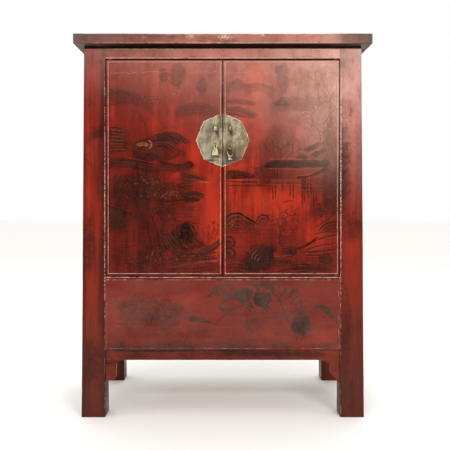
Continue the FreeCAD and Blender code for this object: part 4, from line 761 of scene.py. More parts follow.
def lacquer_coat(name, body, finish, corner, size, edge_steps, profile, paint, seed, pitch=2.0):
    """A skin of lacquer on a face: corner is its upper left end and size its width and height,
    in millimetres. The profile gives its depth by the distance to the nearest edge."""
    us = spread(0, size[0], pitch, edge_steps)
    ws = spread(0, size[1], pitch, edge_steps)
    u, w = (grid.ravel() for grid in np.meshgrid(us, ws))
    edge = np.minimum(np.minimum(u, size[0] - u), np.minimum(w, size[1] - w))
    art = Painting(u, w, seed)
    paint(art)
    depth, wear, seat = profile(art, edge)
    surface = depth - HAND_WAVE * np.clip(edge - BEAD_REACH, 0, 1) * (1 + art.cloud(40, 5))
    surface -= (GILT_RELIEF * art.gold + DARK_RELIEF * art.ink) * (edge > BEAD_REACH)
    x, z = corner[0] + u, corner[1] - w
    columns, lines = len(us), len(ws)
    corners = np.stack([x, surface, z], axis=1) / 1000
    number = np.arange(columns * lines).reshape(lines, columns)
    faces = np.stack([number[:-1, :-1], number[1:, :-1], number[1:, 1:], number[:-1, 1:]],
                     axis=-1).reshape(-1, 4)
    rim = np.concatenate([number[0, :-1], number[:-1, -1], number[-1, :0:-1], number[:0:-1, 0]])
    behind = corners[rim].copy()
    behind[:, 1] = seat / 1000
    start = len(corners)
    follow = np.roll(np.arange(len(rim)), -1)
    sides = np.stack([rim, rim[follow], start + follow, start + np.arange(len(rim))], axis=1)
    mesh = bpy.data.meshes.new(name)
    mesh.from_pydata(np.vstack([corners, behind]).tolist(), [],
                     faces.tolist() + sides[:, ::-1].tolist() + [(start + follow).tolist()])
    for layer, values in (("tone", art.tone), ("ink", art.ink), ("gold", art.gold), ("arris", wear)):
        held = np.concatenate([values, np.zeros(len(rim))]).astype(np.float32)
        mesh.attributes.new(layer, "FLOAT", "POINT").data.foreach_set("value", held)
    smooth = np.zeros(len(mesh.polygons), dtype=bool)
    smooth[:len(faces)] = True
    mesh.polygons.foreach_set("use_smooth", smooth)
    bm = bmesh.new()
    bm.from_mesh(mesh)
    turned_out(bm, mesh)
    piece = placed(name, mesh)
    mesh.materials.append(finish)
    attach(piece, body)


def painted_lacquer(name, grain, seed, worn, dust=0.0,
                    soot=((0.006, 0.0025, 0.0015), (0.024, 0.010, 0.006))):
    """The same old red lacquer with a picture on it: dark pigment, thin lines that still hold
    some gilding, and the ground worn pale on the bead. Dust and a painted sheen pale the upper
    front."""
    paint = Finish(name, 0.3, 0.07)
    shift = (seed, seed * 0.7, seed * 1.3)
    streaks = paint.noise(scaled(GRAIN[grain], 0.6), 6, 0.62, shift)
    fine = paint.noise(scaled(GRAIN[grain], 4), 4, 0.62, shift)
    speck = paint.noise((90, 90, 90), 4, 0.7, shift)
    grime = paint.noise((20, 20, 14), 6, 0.72, shift)
    tone = paint.plus(paint.mark("tone"), paint.ease(streaks, 0.25, 0.75, -0.11, 0.11))
    dark = paint.blend(paint.ease(tone, 0.0, 0.5), (0.038, 0.005, 0.003), (0.135, 0.011, 0.006))
    colour = paint.blend(paint.ease(tone, 0.45, 1.0), dark, (0.33, 0.024, 0.009))
    colour = paint.blend(paint.ease(fine, 0.30, 0.50, 0.20, 0.0), colour, BLACKENED)
    colour = paint.blend(paint.ease(grime, 0.55, 0.75, 0.0, 0.45), colour, (0.055, 0.012, 0.010))
    ink = paint.times(paint.mark("ink"), paint.ease(speck, 0.3, 0.6, 0.85, 1.12))
    pigment = paint.blend(paint.ease(grime, 0.35, 0.65), *soot)
    colour = paint.blend(ink, colour, pigment)
    gold = paint.times(paint.mark("gold"), paint.ease(speck, 0.36, 0.58, 0.35, 1.0))
    colour = paint.blend(gold, colour, (0.42, 0.19, 0.085))
    # Dust and a painted sheen pale the upper front, less over the dark pigment.
    colour = paint.dust_and_painted_sheen(colour, grime, 0.60, ink)
    if dust:
        colour = paint.dusty(colour, shift, (9, 9, 14), (0.3, 0.7), dust, (0.46, 0.26, 0.21))
    _, bare = paint.chafed(shift, 1.14, 1.38)
    colour = paint.blend(bare, colour, worn)
    shine = paint.plus(paint.ease(grime, 0.3, 0.7, 0.25, 0.38), paint.times(bare, 0.2))
    relief = paint.plus(paint.times(streaks, 0.55), paint.times(fine, 0.25))
    return paint.done(colour, shine, relief, 0.2, 0.001)


def paint_panel(art):
    art.tone = 0.50 + 0.13 * art.cloud(120, 3, (2.5, 1)) + 0.09 * art.cloud(16, 4, (5, 1)) \
        + 0.06 * art.cloud(7, 5, (9, 1))
    art.tone -= 0.16 * np.clip((art.w - 215) / 45, 0, 1)
    art.wash([(46, 74), (110, 58), (190, 68), (268, 84), (282, 150), (250, 196), (200, 178), (120, 160),
              (60, 132)], 0.56, 18, 18)
    art.wash([(96, 96), (170, 84), (240, 104), (262, 142), (206, 154), (140, 140)], 0.55, 14, 12)
    art.wash([(60, 86), (112, 70), (180, 84), (190, 132), (120, 142), (70, 128)], 0.45, 14, 12)
    art.dabs([(44, 58), (190, 146)], 150, 14, 0.60, slant=10)
    art.dabs([(60, 70), (180, 130)], 90, 12, 0.80, slant=70)
    art.dabs([(140, 84), (310, 176)], 190, 14, 0.64, slant=10)
    art.dabs([(160, 96), (270, 160)], 150, 12, 0.95, slant=70)
    art.dabs([(200, 150), (400, 240)], 70, 13, 0.42)
    art.dabs([(50, 60), (275, 175)], 60, 6, 0.42, "gold", slant=70)
    art.dabs([(130, 140), (268, 208)], 70, 12, 0.6)
    for _ in range(16):
        height, left = art.random.uniform(84, 168), art.random.uniform(40, 210)
        art.stroke([(left, height), (left + 30, height + 2), (left + 74, height)], 6, 0.55)
    art.wash([(60, 172), (150, 176), (250, 196), (236, 216), (110, 208)], 0.34, 12, 10)
    art.wash([(298, 132), (345, 138), (408, 162), (360, 160), (318, 152)], 0.92, 5, 3)
    art.wash([(286, 166), (350, 170), (396, 190), (330, 208)], 0.40, 14, 8)
    art.stroke([(404, 164), (428, 146), (452, 122), (490, 102), (540, 88)], 5.0, 0.9)
    for centre, reach in (((517, 56), 33), ((583, 68), 32), ((728, 168), 37)):
        ring = [(centre[0] + reach * math.cos(turn) * art.random.uniform(0.92, 1.06),
                 centre[1] + reach * math.sin(turn) * art.random.uniform(0.86, 1.0))
                for turn in all_round(11)]
        art.wash(ring, 0.96, 8, 7, rub=0.12)
        art.dabs([(centre[0] - reach, centre[1] - reach), (centre[0] + reach, centre[1] + reach)], 40, 14,
                 0.7)
        for share in (-0.5, 0.1, 0.6):
            bow = reach * share
            art.stroke([(centre[0] + bow * 0.4, centre[1] - reach * 0.75),
                        (centre[0] + bow * 1.2, centre[1]),
                        (centre[0] + bow * 0.4, centre[1] + reach * 0.75)], 1.6, 0.16, "gold")
    for foot, tips in (((536, 86), ((524, 108), (538, 116), (552, 106))),
                       ((598, 96), ((588, 116), (602, 122), (614, 108))),
                       ((728, 134), ((712, 96), (728, 80), (744, 98)))):
        for tip in tips:
            art.stroke([foot, tip], 9, 0.92, end=0.7)
    for tip in ((694, 212), (712, 220), (746, 220), (764, 206)):
        art.stroke([(730, 190), tip], 8, 0.85, end=0.7)
    art.stroke([(616, 42), (642, 64), (660, 104), (684, 162)], 5.5, 0.92)
    art.stroke([(616, 42), (590, 22), (560, 18)], 5, 0.9)
    for area, count in (([(398, 10), (500, 80)], 70), ([(540, 8), (650, 50)], 50),
                        ([(640, 30), (730, 96)], 34), ([(420, 80), (500, 118)], 26),
                        ([(690, 96), (770, 140)], 34), ([(515, 130), (575, 206)], 44),
                        ([(694, 190), (770, 222)], 26), ([(770, 92), (840, 140)], 22)):
        art.dabs(area, count, 12, 0.78)
    for line, width in (([(380, 64), (402, 48), (424, 58)], 15), ([(422, 26), (440, 42), (446, 62)], 14),
                        ([(444, 78), (462, 60), (480, 68)], 14), ([(456, 24), (474, 28), (488, 44)], 15),
                        ([(548, 20), (566, 28), (576, 44)], 15), ([(592, 20), (616, 26), (626, 46)], 16),
                        ([(650, 70), (666, 48), (674, 36)], 12), ([(680, 66), (700, 44), (716, 34)], 16),
                        ([(416, 98), (440, 108), (468, 100)], 12), ([(690, 84), (704, 66), (724, 60)], 10),
                        ([(782, 98), (812, 104), (838, 128), (866, 162)], 17),
                        ([(752, 124), (766, 112), (780, 112)], 11), ([(398, 40), (410, 28), (420, 24)], 10),
                        ([(490, 96), (476, 108), (460, 120)], 9)):
        art.stroke(line, width, 0.88, start=0.4, end=0.5)
        art.stroke(line, 1.5, 0.16, "gold")
    bloom = (544, 174)
    for tip in oval(bloom, (36, 28)):
        art.stroke([bloom, tip], 15, 0.36, start=0.6, end=0.3)
    art.stroke([(540, 112), (536, 128), (546, 146)], 3.5, 0.6)
    for start, end in ((150, 330), (425, 560), (620, 700), (770, 840), (20, 90)):
        art.wash([(start, 246), ((start + end) / 2, 240), (end, 248), (end - 10, 260), (start + 8, 260)],
                 0.66, 7, 10)
        art.dabs([(start, 232), (end, 262)], 34, 13, 0.8, slant=5)
    for _ in range(30):
        height, left = art.random.uniform(20, 250), art.random.uniform(10, 760)
        art.stroke([(left, height), (left + 50, height + 1.5), (left + 110, height)], 3.5, 0.26)


def panel_profile(art, _):
    """A 7 mm bead at the left, the right and the foot; the sill's lip covers the top."""
    inner = np.minimum(np.minimum(art.u, 874 - art.u), 260 - art.w)
    rise = np.clip((8.0 - inner) / 1.2, 0, 1)
    round_off = np.clip(1.4 - inner, 0, 1.4) ** 2 * 0.45
    depth = -232.12 - 2.0 * rise + round_off
    wear = 0.82 * np.exp(-((inner - 5.6) / 1.7) ** 2) + 0.16 * art.cloud(24, 9)
    return depth, wear, -231.4


panel_paint = painted_lacquer("panel_paint", "X", 17.0, WORN_PINK, dust=0.10,
                              soot=((0.006, 0.003, 0.002), (0.028, 0.021, 0.012)))
planed("lower_front_panel", red_lacquer("panel_lacquer", "X", (0.15, 0.030, 0.020), (0.24, 0.045, 0.028),
                                        WORN_PALE, seed=17.0, wear=0.3), seed=80,
       wobble=0.0)
lacquer_coat("panel_coat", "carcass", panel_paint, (-436.9, 509.9), (873.8, 259.8),
             (0, 0.5, 1.4, 3, 4.6, 5.6, 6.6, 7.2, 7.7, 8.2, 9.4), panel_profile, paint_panel, 171, pitch=2.1)

# The doors: frame and panel flush under one skin of lacquer, with a raised bead round the edge.
# The wood turns on pivots worked at the ends of the hinge stile; behind, it is plain lacquer.

door_back_lacquer = red_lacquer("door_back_lacquer", "Z", (0.10, 0.024, 0.016), (0.20, 0.040, 0.024),
                                (0.36, 0.22, 0.16), seed=21.0, wear=0.5, rough=0.5)
for side in ("left", "right"):
    for part in ("hinge_stile", "meeting_stile", "rails", "panel"):
        planed(f"door_{side}_{part}", door_back_lacquer, body=f"door_{side}", seed=90, wobble=0.0, bevel=0.0)

DOOR_WIDTH, DOOR_HEIGHT = 432.6, 802.1
PLATE_DROP = 298.55


def door_profile(plate_u):
    """A 9 mm bead with a rounded outer corner, standing proud of the flat field. It is pared
    away where the lock plate lies."""
    def profile(art, edge):
        clear = np.clip((np.hypot(art.u - plate_u, art.w - PLATE_DROP) - 90) / 3, 0, 1)
        crest_depth, wear = bead(edge)
        # A dark line at the foot of the bead, where it meets the field, is painted shade.
        art.tone -= 0.3 * np.exp(-((edge - 11.0) / 1.3) ** 2)
        return -234.15 - clear * crest_depth + (1 - clear) * 0.1, wear * clear, -231.2
    return profile


def bead(edge):
    outer = np.clip(4.0 - edge, 0, 4.0)
    crest = 4.0 - np.sqrt(np.clip(16.0 - outer ** 2, 0, 16))
    rise = np.clip((9.8 - edge) / 1.3, 0, 1)
    wear = 1.04 * np.exp(-((edge - 7.6) / 1.6) ** 2) + 0.35 * np.exp(-((edge - 2.0) / 1.6) ** 2)
    return 1.6 * rise - crest, wear


def hill(art, ridge, depth, strength, gilt=0.35):
    """A distant hill: a dark crest that fades down into mist, with a fine line along it."""
    foot = [(u, w + depth) for u, w in ridge[::-1]]
    art.wash(ridge + foot, strength, 7, 4, fade=0.75)
    art.stroke(ridge, 2.4, strength, start=0.1, end=0.2)
    if gilt:
        art.stroke([(u, w + 4) for u, w in ridge], 1.4, gilt, "gold", 0.1, 0.3)


def folds(art, first, last, count, width, strength=0.8, gilt=0.3, loose=3.0):
    """Rock or bank, brushed as neighbouring strokes from one edge to the other, no two as long,
    each with a trace of a lit line beside it."""
    first, last = np.array(first, dtype=float), np.array(last, dtype=float)
    for share in np.linspace(0, 1, count):
        line = curved(first * (1 - share) + last * share + art.random.normal(0, loose, first.shape))
        begin = int(len(line) * art.random.uniform(0, 0.16))
        line = line[begin:max(begin + 4, int(len(line) * art.random.uniform(0.76, 1.04)))]
        art.stroke(line, width * art.random.uniform(0.6, 1.45), strength * art.random.uniform(0.8, 1.08),
                   start=0.25, end=0.45, rub=0.22, bent=False)
        if gilt:
            art.stroke(line - (0, width * 0.5), 1.5, gilt * art.random.uniform(0.1, 0.8), "gold", 0.25, 0.45,
                       bent=False)


def crown(art, centre, reach, count, size=10, strength=0.8, lit=0.25):
    """Foliage: a thin dark ground, leaves dabbed over it, and a few touches of light."""
    centre, reach = np.array(centre), np.array(reach)
    art.wash(oval(centre, reach), strength * 0.66, 14, 12)
    area = [centre - reach * 1.15, centre + reach * 1.15]
    art.dabs(area, int(count * 2.2), size, min(1.0, strength * 1.2))
    art.dabs(area, int(count * lit * 0.8), size * 0.55, 0.36, "gold")


def twigs(art, start, direction, length, width, depth, strength, spread_out=0.55):
    """A branch that forks as it grows."""
    bend = art.random.normal(0, 0.22)
    end = (start[0] + length * math.cos(direction + bend), start[1] - length * math.sin(direction + bend))
    middle = ((start[0] + end[0]) / 2 + art.random.normal(0, length * 0.08),
              (start[1] + end[1]) / 2 + art.random.normal(0, length * 0.08))
    art.stroke([start, middle, end], width, strength, start=0.02, end=0.15)
    if depth:
        for turn in (-spread_out, spread_out):
            twigs(art, end, direction + turn + art.random.normal(0, 0.18),
                  length * art.random.uniform(0.6, 0.85), width * 0.68, depth - 1, strength, spread_out)


def worn_line(art, start, end, height, jag, layer, seed):
    """The lacquer has cracked across where the rail meets the panel beneath it."""
    places = np.arange(start, end, 9.0)
    line = [(place, height + jag * math.sin(place * 0.9 + seed) * math.sin(place * 0.31))
            for place in places]
    art.stroke(line, 2.6, 0.75, layer, 0.1, 0.1, rub=0.9)
    art.stroke([(u, w + 3) for u, w in line], 2.2, 0.5, "ink", 0.1, 0.1, rub=0.9)


def lath(art, start, end, width, strength):
    """A straight timber, as wide at its ends as in its middle."""
    art.stroke([start, end], width, strength, start=0.05, end=0.05)


def warmth(art, base, spots):
    """The ground under the picture: brighter and darker places, brushed on up and down."""
    art.tone = base + 0.09 * art.cloud(110, 3) + 0.07 * art.cloud(26, 4, (1, 5)) \
        + 0.07 * art.cloud(8, 5, (1, 12)) + 0.08 * art.cloud(22, 7)
    for (u, w), (wide, high), amount in spots:
        art.tone += amount * np.exp(-((art.u - u) / wide) ** 2 - ((art.w - w) / high) ** 2)


def left_hills(art):
    """Two far hills, dark clumps above them, and cracks in the lacquer over the rail."""
    hill(art, [(10, 112), (50, 106), (90, 118), (130, 136), (172, 158)], 46, 0.80)
    art.wash([(12, 114), (54, 110), (96, 124), (168, 160), (110, 164), (60, 168), (12, 168)], 0.50, 10, 6)
    for line in ([(120, 150), (170, 146), (214, 147)], [(124, 140), (158, 136), (196, 138)],
                 [(60, 160), (120, 160), (170, 163)]):
        art.stroke(line, 4, 0.6)
    art.dabs([(130, 128), (214, 158)], 30, 5, 0.5, "gold", slant=10)
    for spot, reach, strength in (((213, 57), (20, 28), 0.62), ((264, 57), (32, 42), 0.55),
                                  ((357, 94), (20, 32), 0.60)):
        art.wash(oval(spot, reach), strength, 9, 6)
        art.dabs([np.array(spot) - reach, np.array(spot) + reach], 26, 8, 0.5)
    art.dabs([(226, 20), (306, 120)], 70, 4, 0.6, "gold")
    art.dabs([(130, 50), (230, 104)], 46, 4, 0.32, "gold")
    art.dabs([(240, 108), (292, 132)], 18, 6, 0.7, "gold", slant=20)
    hill(art, [(254, 186), (290, 168), (330, 160), (372, 164), (418, 184)], 44, 0.72)
    folds(art, [(262, 184), (320, 172), (390, 180)], [(270, 198), (336, 194), (404, 206)], 4, 8, 0.6, 0.22,
          1.5)
    worn_line(art, 14, 118, 48, 4, "gold", 0.2)
    worn_line(art, 128, 246, 44, 2, "gold", 1.1)
    worn_line(art, 300, 420, 46, 5, "gold", 2.0)


def left_rocks(art):
    """Rocks and banks in the water, halfway up."""
    art.dabs([(60, 180), (250, 290)], 110, 5, 0.26)
    art.stroke([(86, 184), (124, 202), (146, 246), (152, 290)], 4.2, 0.62, start=0.5, end=0.1)
    art.stroke([(108, 194), (96, 214), (92, 236)], 2.6, 0.5, end=0.6)
    twigs(art, (152, 286), math.radians(98), 36, 3.4, 5, 0.50)
    twigs(art, (206, 276), math.radians(70), 26, 2.8, 4, 0.46)
    art.wash([(10, 250), (44, 248), (84, 262), (92, 300), (84, 334), (40, 344), (10, 344)], 0.42, 9, 6)
    folds(art, [(10, 252), (44, 254), (70, 260)], [(10, 340), (52, 338), (92, 340)], 8, 9, 0.85, 0.5, 1.6)
    art.wash([(92, 316), (150, 290), (214, 268), (268, 276), (310, 306), (270, 318), (300, 350), (222, 380),
              (150, 376), (100, 350)], 0.62, 8, 7)
    folds(art, [(176, 280), (236, 268), (278, 280), (308, 308)],
          [(170, 330), (208, 320), (236, 330), (258, 348)], 7, 10, 0.92, 0.5, 1.8)
    folds(art, [(96, 330), (116, 344), (150, 356)], [(110, 366), (170, 352), (214, 374)], 5, 10, 0.85, 0.25,
          2.5)
    art.wash([(104, 338), (150, 344), (196, 360), (186, 376), (130, 372), (100, 358)], 0.85, 5, 4)
    for reach in (15, 22, 29):
        bow = [(136 + reach * math.cos(turn), 326 - reach * 0.62 * math.sin(turn))
               for turn in np.linspace(0.35, 2.8, 6)]
        art.stroke(bow, 2.8, 0.85, "gold", 0.2, 0.2, rub=0.15)
    art.stroke([(158, 300), (168, 308), (167, 322), (160, 330)], 4.2, 1.0, "gold", 0.3, 0.3, rub=0.05)
    art.wash([(10, 366), (70, 366), (120, 380), (170, 388), (236, 384), (322, 388), (312, 410), (240, 420),
              (160, 418), (90, 404), (12, 396)], 0.60, 8, 6)
    folds(art, [(12, 374), (90, 374), (160, 390), (230, 402)],
          [(14, 390), (100, 398), (170, 412), (240, 416)], 4, 10, 0.85, 0.3, 2.0)
    folds(art, [(196, 378), (250, 392), (300, 396)], [(220, 404), (262, 412), (306, 404)], 4, 9, 0.85, 0.35,
          2.0)
    art.wash([(286, 384), (306, 376), (322, 384), (318, 400), (296, 404)], 0.95, 4, 3)
    art.wash([(276, 416), (310, 412), (374, 440), (330, 450), (280, 448)], 0.5, 6, 5)
    folds(art, [(282, 414), (318, 424), (374, 442)], [(280, 444), (318, 448), (352, 452)], 5, 8, 0.92, 0.3,
          2.0)
    art.stroke([(330, 453), (366, 455), (390, 457)], 2.4, 0.8, "gold")
    art.stroke([(344, 447), (384, 448)], 3, 0.8)
    folds(art, [(270, 462), (300, 458), (334, 466)], [(276, 480), (304, 478), (334, 474)], 4, 7, 0.8, 0.2, 3)
    folds(art, [(280, 502), (326, 496), (372, 512)], [(276, 524), (320, 524), (366, 516)], 5, 9, 0.95, 0.3,
          2.0)
    art.stroke([(160, 470), (240, 468), (300, 478)], 9, 0.6)
    art.stroke([(170, 520), (230, 526), (286, 520)], 10, 0.85)
    art.stroke([(180, 533), (236, 540), (290, 532)], 5, 0.6)


def left_trees(art):
    """A thicket over the water and the old tree in front of it."""
    art.wash([(20, 424), (120, 412), (280, 424), (336, 470), (330, 540), (250, 620), (60, 650), (16, 560)],
             0.12, 22, 14)
    for _ in range(70):
        spot = np.array((art.random.uniform(20, 300), art.random.uniform(424, 600)))
        art.stroke([spot, spot + (art.random.uniform(14, 40), art.random.normal(0, 8)),
                    spot + (art.random.uniform(40, 80), art.random.normal(6, 10))], 3.0, 0.58, end=0.5)
    for start, turn in (((120, 560), 110), ((160, 590), 84), ((196, 560), 70), ((250, 570), 60),
                        ((90, 600), 130)):
        twigs(art, start, math.radians(turn), 34, 4.0, 4, 0.62)
    for centre, reach, count in (((62, 448), (40, 18), 60), ((152, 446), (44, 20), 80),
                                 ((60, 490), (44, 26), 80), ((210, 474), (62, 16), 90),
                                 ((146, 506), (40, 22), 60), ((226, 504), (56, 18), 80),
                                 ((214, 562), (46, 18), 34)):
        crown(art, centre, reach, count, 9, 0.78, 0.3)
    art.dabs([(176, 486), (280, 516)], 46, 6, 0.42, "gold")
    art.dabs([(96, 432), (200, 470)], 26, 6, 0.42, "gold")
    for number in range(9):
        height = 424 + number * 12
        art.stroke([(30, height), (120, height + 3), (236, height - 2)], 2.4, 0.35)
    for line, width in (([(196, 706), (192, 650), (174, 598), (160, 562), (132, 526), (108, 500)], 8),
                        ([(170, 700), (158, 644), (152, 592)], 6.5),
                        ([(186, 700), (178, 650), (164, 604)], 3), ([(172, 592), (184, 562), (186, 528)], 5),
                        ([(152, 552), (122, 548), (98, 556)], 5),
                        ([(204, 650), (214, 612), (238, 594), (266, 586)], 6),
                        ([(146, 540), (150, 508), (138, 484)], 5),
                        ([(238, 596), (250, 576), (276, 566)], 3.6),
                        ([(204, 640), (232, 630), (250, 612)], 3.2)):
        art.stroke(line, width, 0.78, start=0.05, end=0.7)


def left_bank(art):
    """The near bank, its great rock and the shore at the foot."""
    folds(art, [(12, 546), (60, 560), (114, 580)], [(10, 610), (24, 618), (70, 634)], 8, 9, 0.85, 0.30, 2.0)
    art.wash([(12, 548), (60, 556), (112, 578), (84, 600), (70, 632), (12, 632)], 0.45, 8, 6)
    for number in range(16):
        height = 634 + number * 8.5 + art.random.normal(0, 2)
        left = 14 + art.random.uniform(0, 30)
        art.stroke([(left, height), (left + 50, height + 5),
                    (left + 90 + art.random.uniform(0, 40), height - 2)], 5, 0.34)
    art.wash([(214, 652), (246, 632), (290, 636), (334, 690), (316, 724), (250, 724)], 0.62, 9, 8)
    folds(art, [(208, 656), (222, 690), (258, 724)], [(256, 636), (290, 676), (334, 718)], 8, 8, 0.97, 0.5,
          3.4)
    folds(art, [(196, 664), (206, 696), (238, 728)], [(212, 652), (230, 682), (262, 718)], 3, 7, 0.85, 0.3,
          3)
    art.wash([(266, 628), (284, 610), (312, 614), (326, 644), (318, 680), (290, 684), (268, 658)], 0.95, 8,
             8, rub=0.12)
    crown(art, (294, 646), (36, 36), 90, 11, 1.0, 0.05)
    art.dabs([(320, 668), (372, 706)], 40, 11, 0.9, slant=-30)
    art.stroke([(326, 660), (346, 680), (382, 698)], 8, 0.9)
    art.stroke([(244, 598), (300, 604), (352, 612)], 4.0, 0.7)
    art.stroke([(248, 588), (262, 596)], 8, 0.7)
    folds(art, [(424, 662), (396, 688), (360, 710), (316, 722)],
          [(424, 684), (396, 708), (350, 726), (300, 736)], 5, 8, 0.95, 0.4, 2.2)
    folds(art, [(424, 716), (350, 724), (270, 730), (180, 744)],
          [(424, 742), (340, 746), (240, 756), (110, 776)], 5, 9, 0.8, 0.3, 2.5)
    art.stroke([(330, 757), (370, 750), (414, 748)], 2.4, 0.8, "gold")
    art.stroke([(236, 772), (300, 764), (392, 762)], 2.0, 0.5, "gold")
    folds(art, [(404, 758), (330, 764), (240, 776), (96, 780)],
          [(410, 778), (300, 784), (200, 788), (90, 790)], 3, 8, 0.65, 0.2, 2.5)
    art.wash([(74, 756), (150, 734), (240, 728), (330, 742), (410, 756), (396, 784), (230, 790), (90, 788)],
             0.48, 16, 10)
    crown(art, (186, 716), (44, 30), 90, 9, 0.7, 0.4)
    crown(art, (112, 762), (44, 22), 70, 9, 0.7, 0.4)
    art.dabs([(150, 700), (400, 776)], 80, 6, 0.30, "gold", slant=5)
    art.dabs([(372, 600), (424, 664)], 34, 15, 0.6, slant=78)
    art.dabs([(330, 630), (420, 672)], 30, 7, 0.5)
    art.dabs([(20, 620), (230, 770)], 170, 9, 0.42)
    art.dabs([(200, 480), (340, 620)], 110, 8, 0.42)
    art.dabs([(80, 380), (250, 470)], 90, 8, 0.5)


def paint_left_door(art):
    warmth(art, 0.50, (((410, 600), (75, 110), 0.46), ((380, 430), (70, 90), 0.34),
                       ((300, 330), (90, 60), 0.22), ((262, 436), (32, 20), 0.28),
                       ((230, 230), (150, 50), 0.12), ((100, 560), (150, 200), -0.30),
                       ((180, 490), (140, 80), -0.10), ((190, 660), (60, 60), -0.06),
                       ((120, 760), (180, 60), -0.16), ((410, 712), (34, 26), 0.20),
                       ((200, 40), (200, 60), 0.12), ((40, 430), (34, 20), 0.16)))
    left_hills(art)
    left_rocks(art)
    left_trees(art)
    left_bank(art)


def right_hills(art):
    """Two far hills, a bank under each and a dark patch between them."""
    hill(art, [(8, 96), (34, 80), (56, 72), (88, 92), (122, 86), (150, 90), (188, 104)], 34, 0.80, 0.12)
    art.wash([(10, 98), (36, 84), (58, 76), (92, 94), (124, 92), (184, 106), (120, 112), (12, 112)], 0.45, 8,
             5)
    art.wash([(192, 30), (204, 20), (238, 20), (242, 70), (238, 122), (222, 126), (206, 94), (194, 66)],
             0.68, 8, 6)
    art.dabs([(196, 26), (240, 120)], 40, 8, 0.5)
    folds(art, [(12, 152), (60, 148), (122, 158)], [(14, 162), (70, 160), (130, 170)], 3, 8, 0.62, 0.12, 1.5)
    art.wash([(10, 176), (60, 174), (108, 190), (128, 208), (96, 216), (40, 204), (10, 196)], 0.50, 6, 4)
    folds(art, [(10, 180), (60, 180), (100, 196), (130, 212)], [(14, 200), (50, 204), (76, 214), (100, 224)],
          4, 8, 0.85, 0.9, 1.6)
    hill(art, [(178, 166), (212, 146), (252, 138), (296, 144), (336, 162)], 50, 0.70, 0.3)
    folds(art, [(180, 163), (216, 152), (256, 158)], [(186, 170), (222, 168), (268, 174)], 3, 7, 0.85, 0.3,
          1.4)
    worn_line(art, 14, 104, 48, 1.5, "gold", 0.4)
    worn_line(art, 316, 420, 46, 4, "ink", 1.4)


def right_trees(art):
    """Bare trees on the far shore, and thin colour behind the pavilion."""
    art.wash([(160, 262), (196, 236), (240, 250), (262, 300), (250, 366), (170, 368), (150, 320)], 0.24, 16,
             12)
    for start, turn, length in (((212, 374), 92, 40), ((196, 372), 112, 34), ((232, 370), 66, 34),
                                ((206, 330), 140, 22), ((222, 330), 40, 22)):
        twigs(art, start, math.radians(turn), length, 4.2, 5, 0.9)
    twigs(art, (286, 334), math.radians(88), 24, 3.0, 4, 0.66, 0.45)
    art.dabs([(162, 270), (250, 368)], 300, 6, 0.75)
    art.dabs([(270, 280), (304, 334)], 40, 6, 0.5)
    art.wash([(300, 80), (420, 60), (424, 300), (360, 300), (320, 200)], 0.14, 26, 16)
    for line in ([(292, 197), (308, 192), (326, 197)], [(306, 207), (318, 209), (332, 205)],
                 [(310, 222), (322, 226), (330, 222)]):
        art.stroke(line, 3.6, 0.9, "gold")
    for start, turn in (((352, 330), 84), ((392, 330), 100), ((410, 260), 96), ((372, 240), 78),
                        ((330, 250), 92), ((404, 180), 92), ((360, 160), 100)):
        twigs(art, start, math.radians(turn), 46, 4.8, 4, 1.0, 0.34)
    art.dabs([(300, 90), (424, 330)], 260, 6, 0.6, slant=80)
    art.wash([(120, 398), (200, 366), (420, 350), (425, 570), (340, 556), (290, 500), (150, 472)], 0.30, 18,
             12)
    art.dabs([(300, 100), (424, 330)], 80, 5, 0.26, "gold", slant=80)


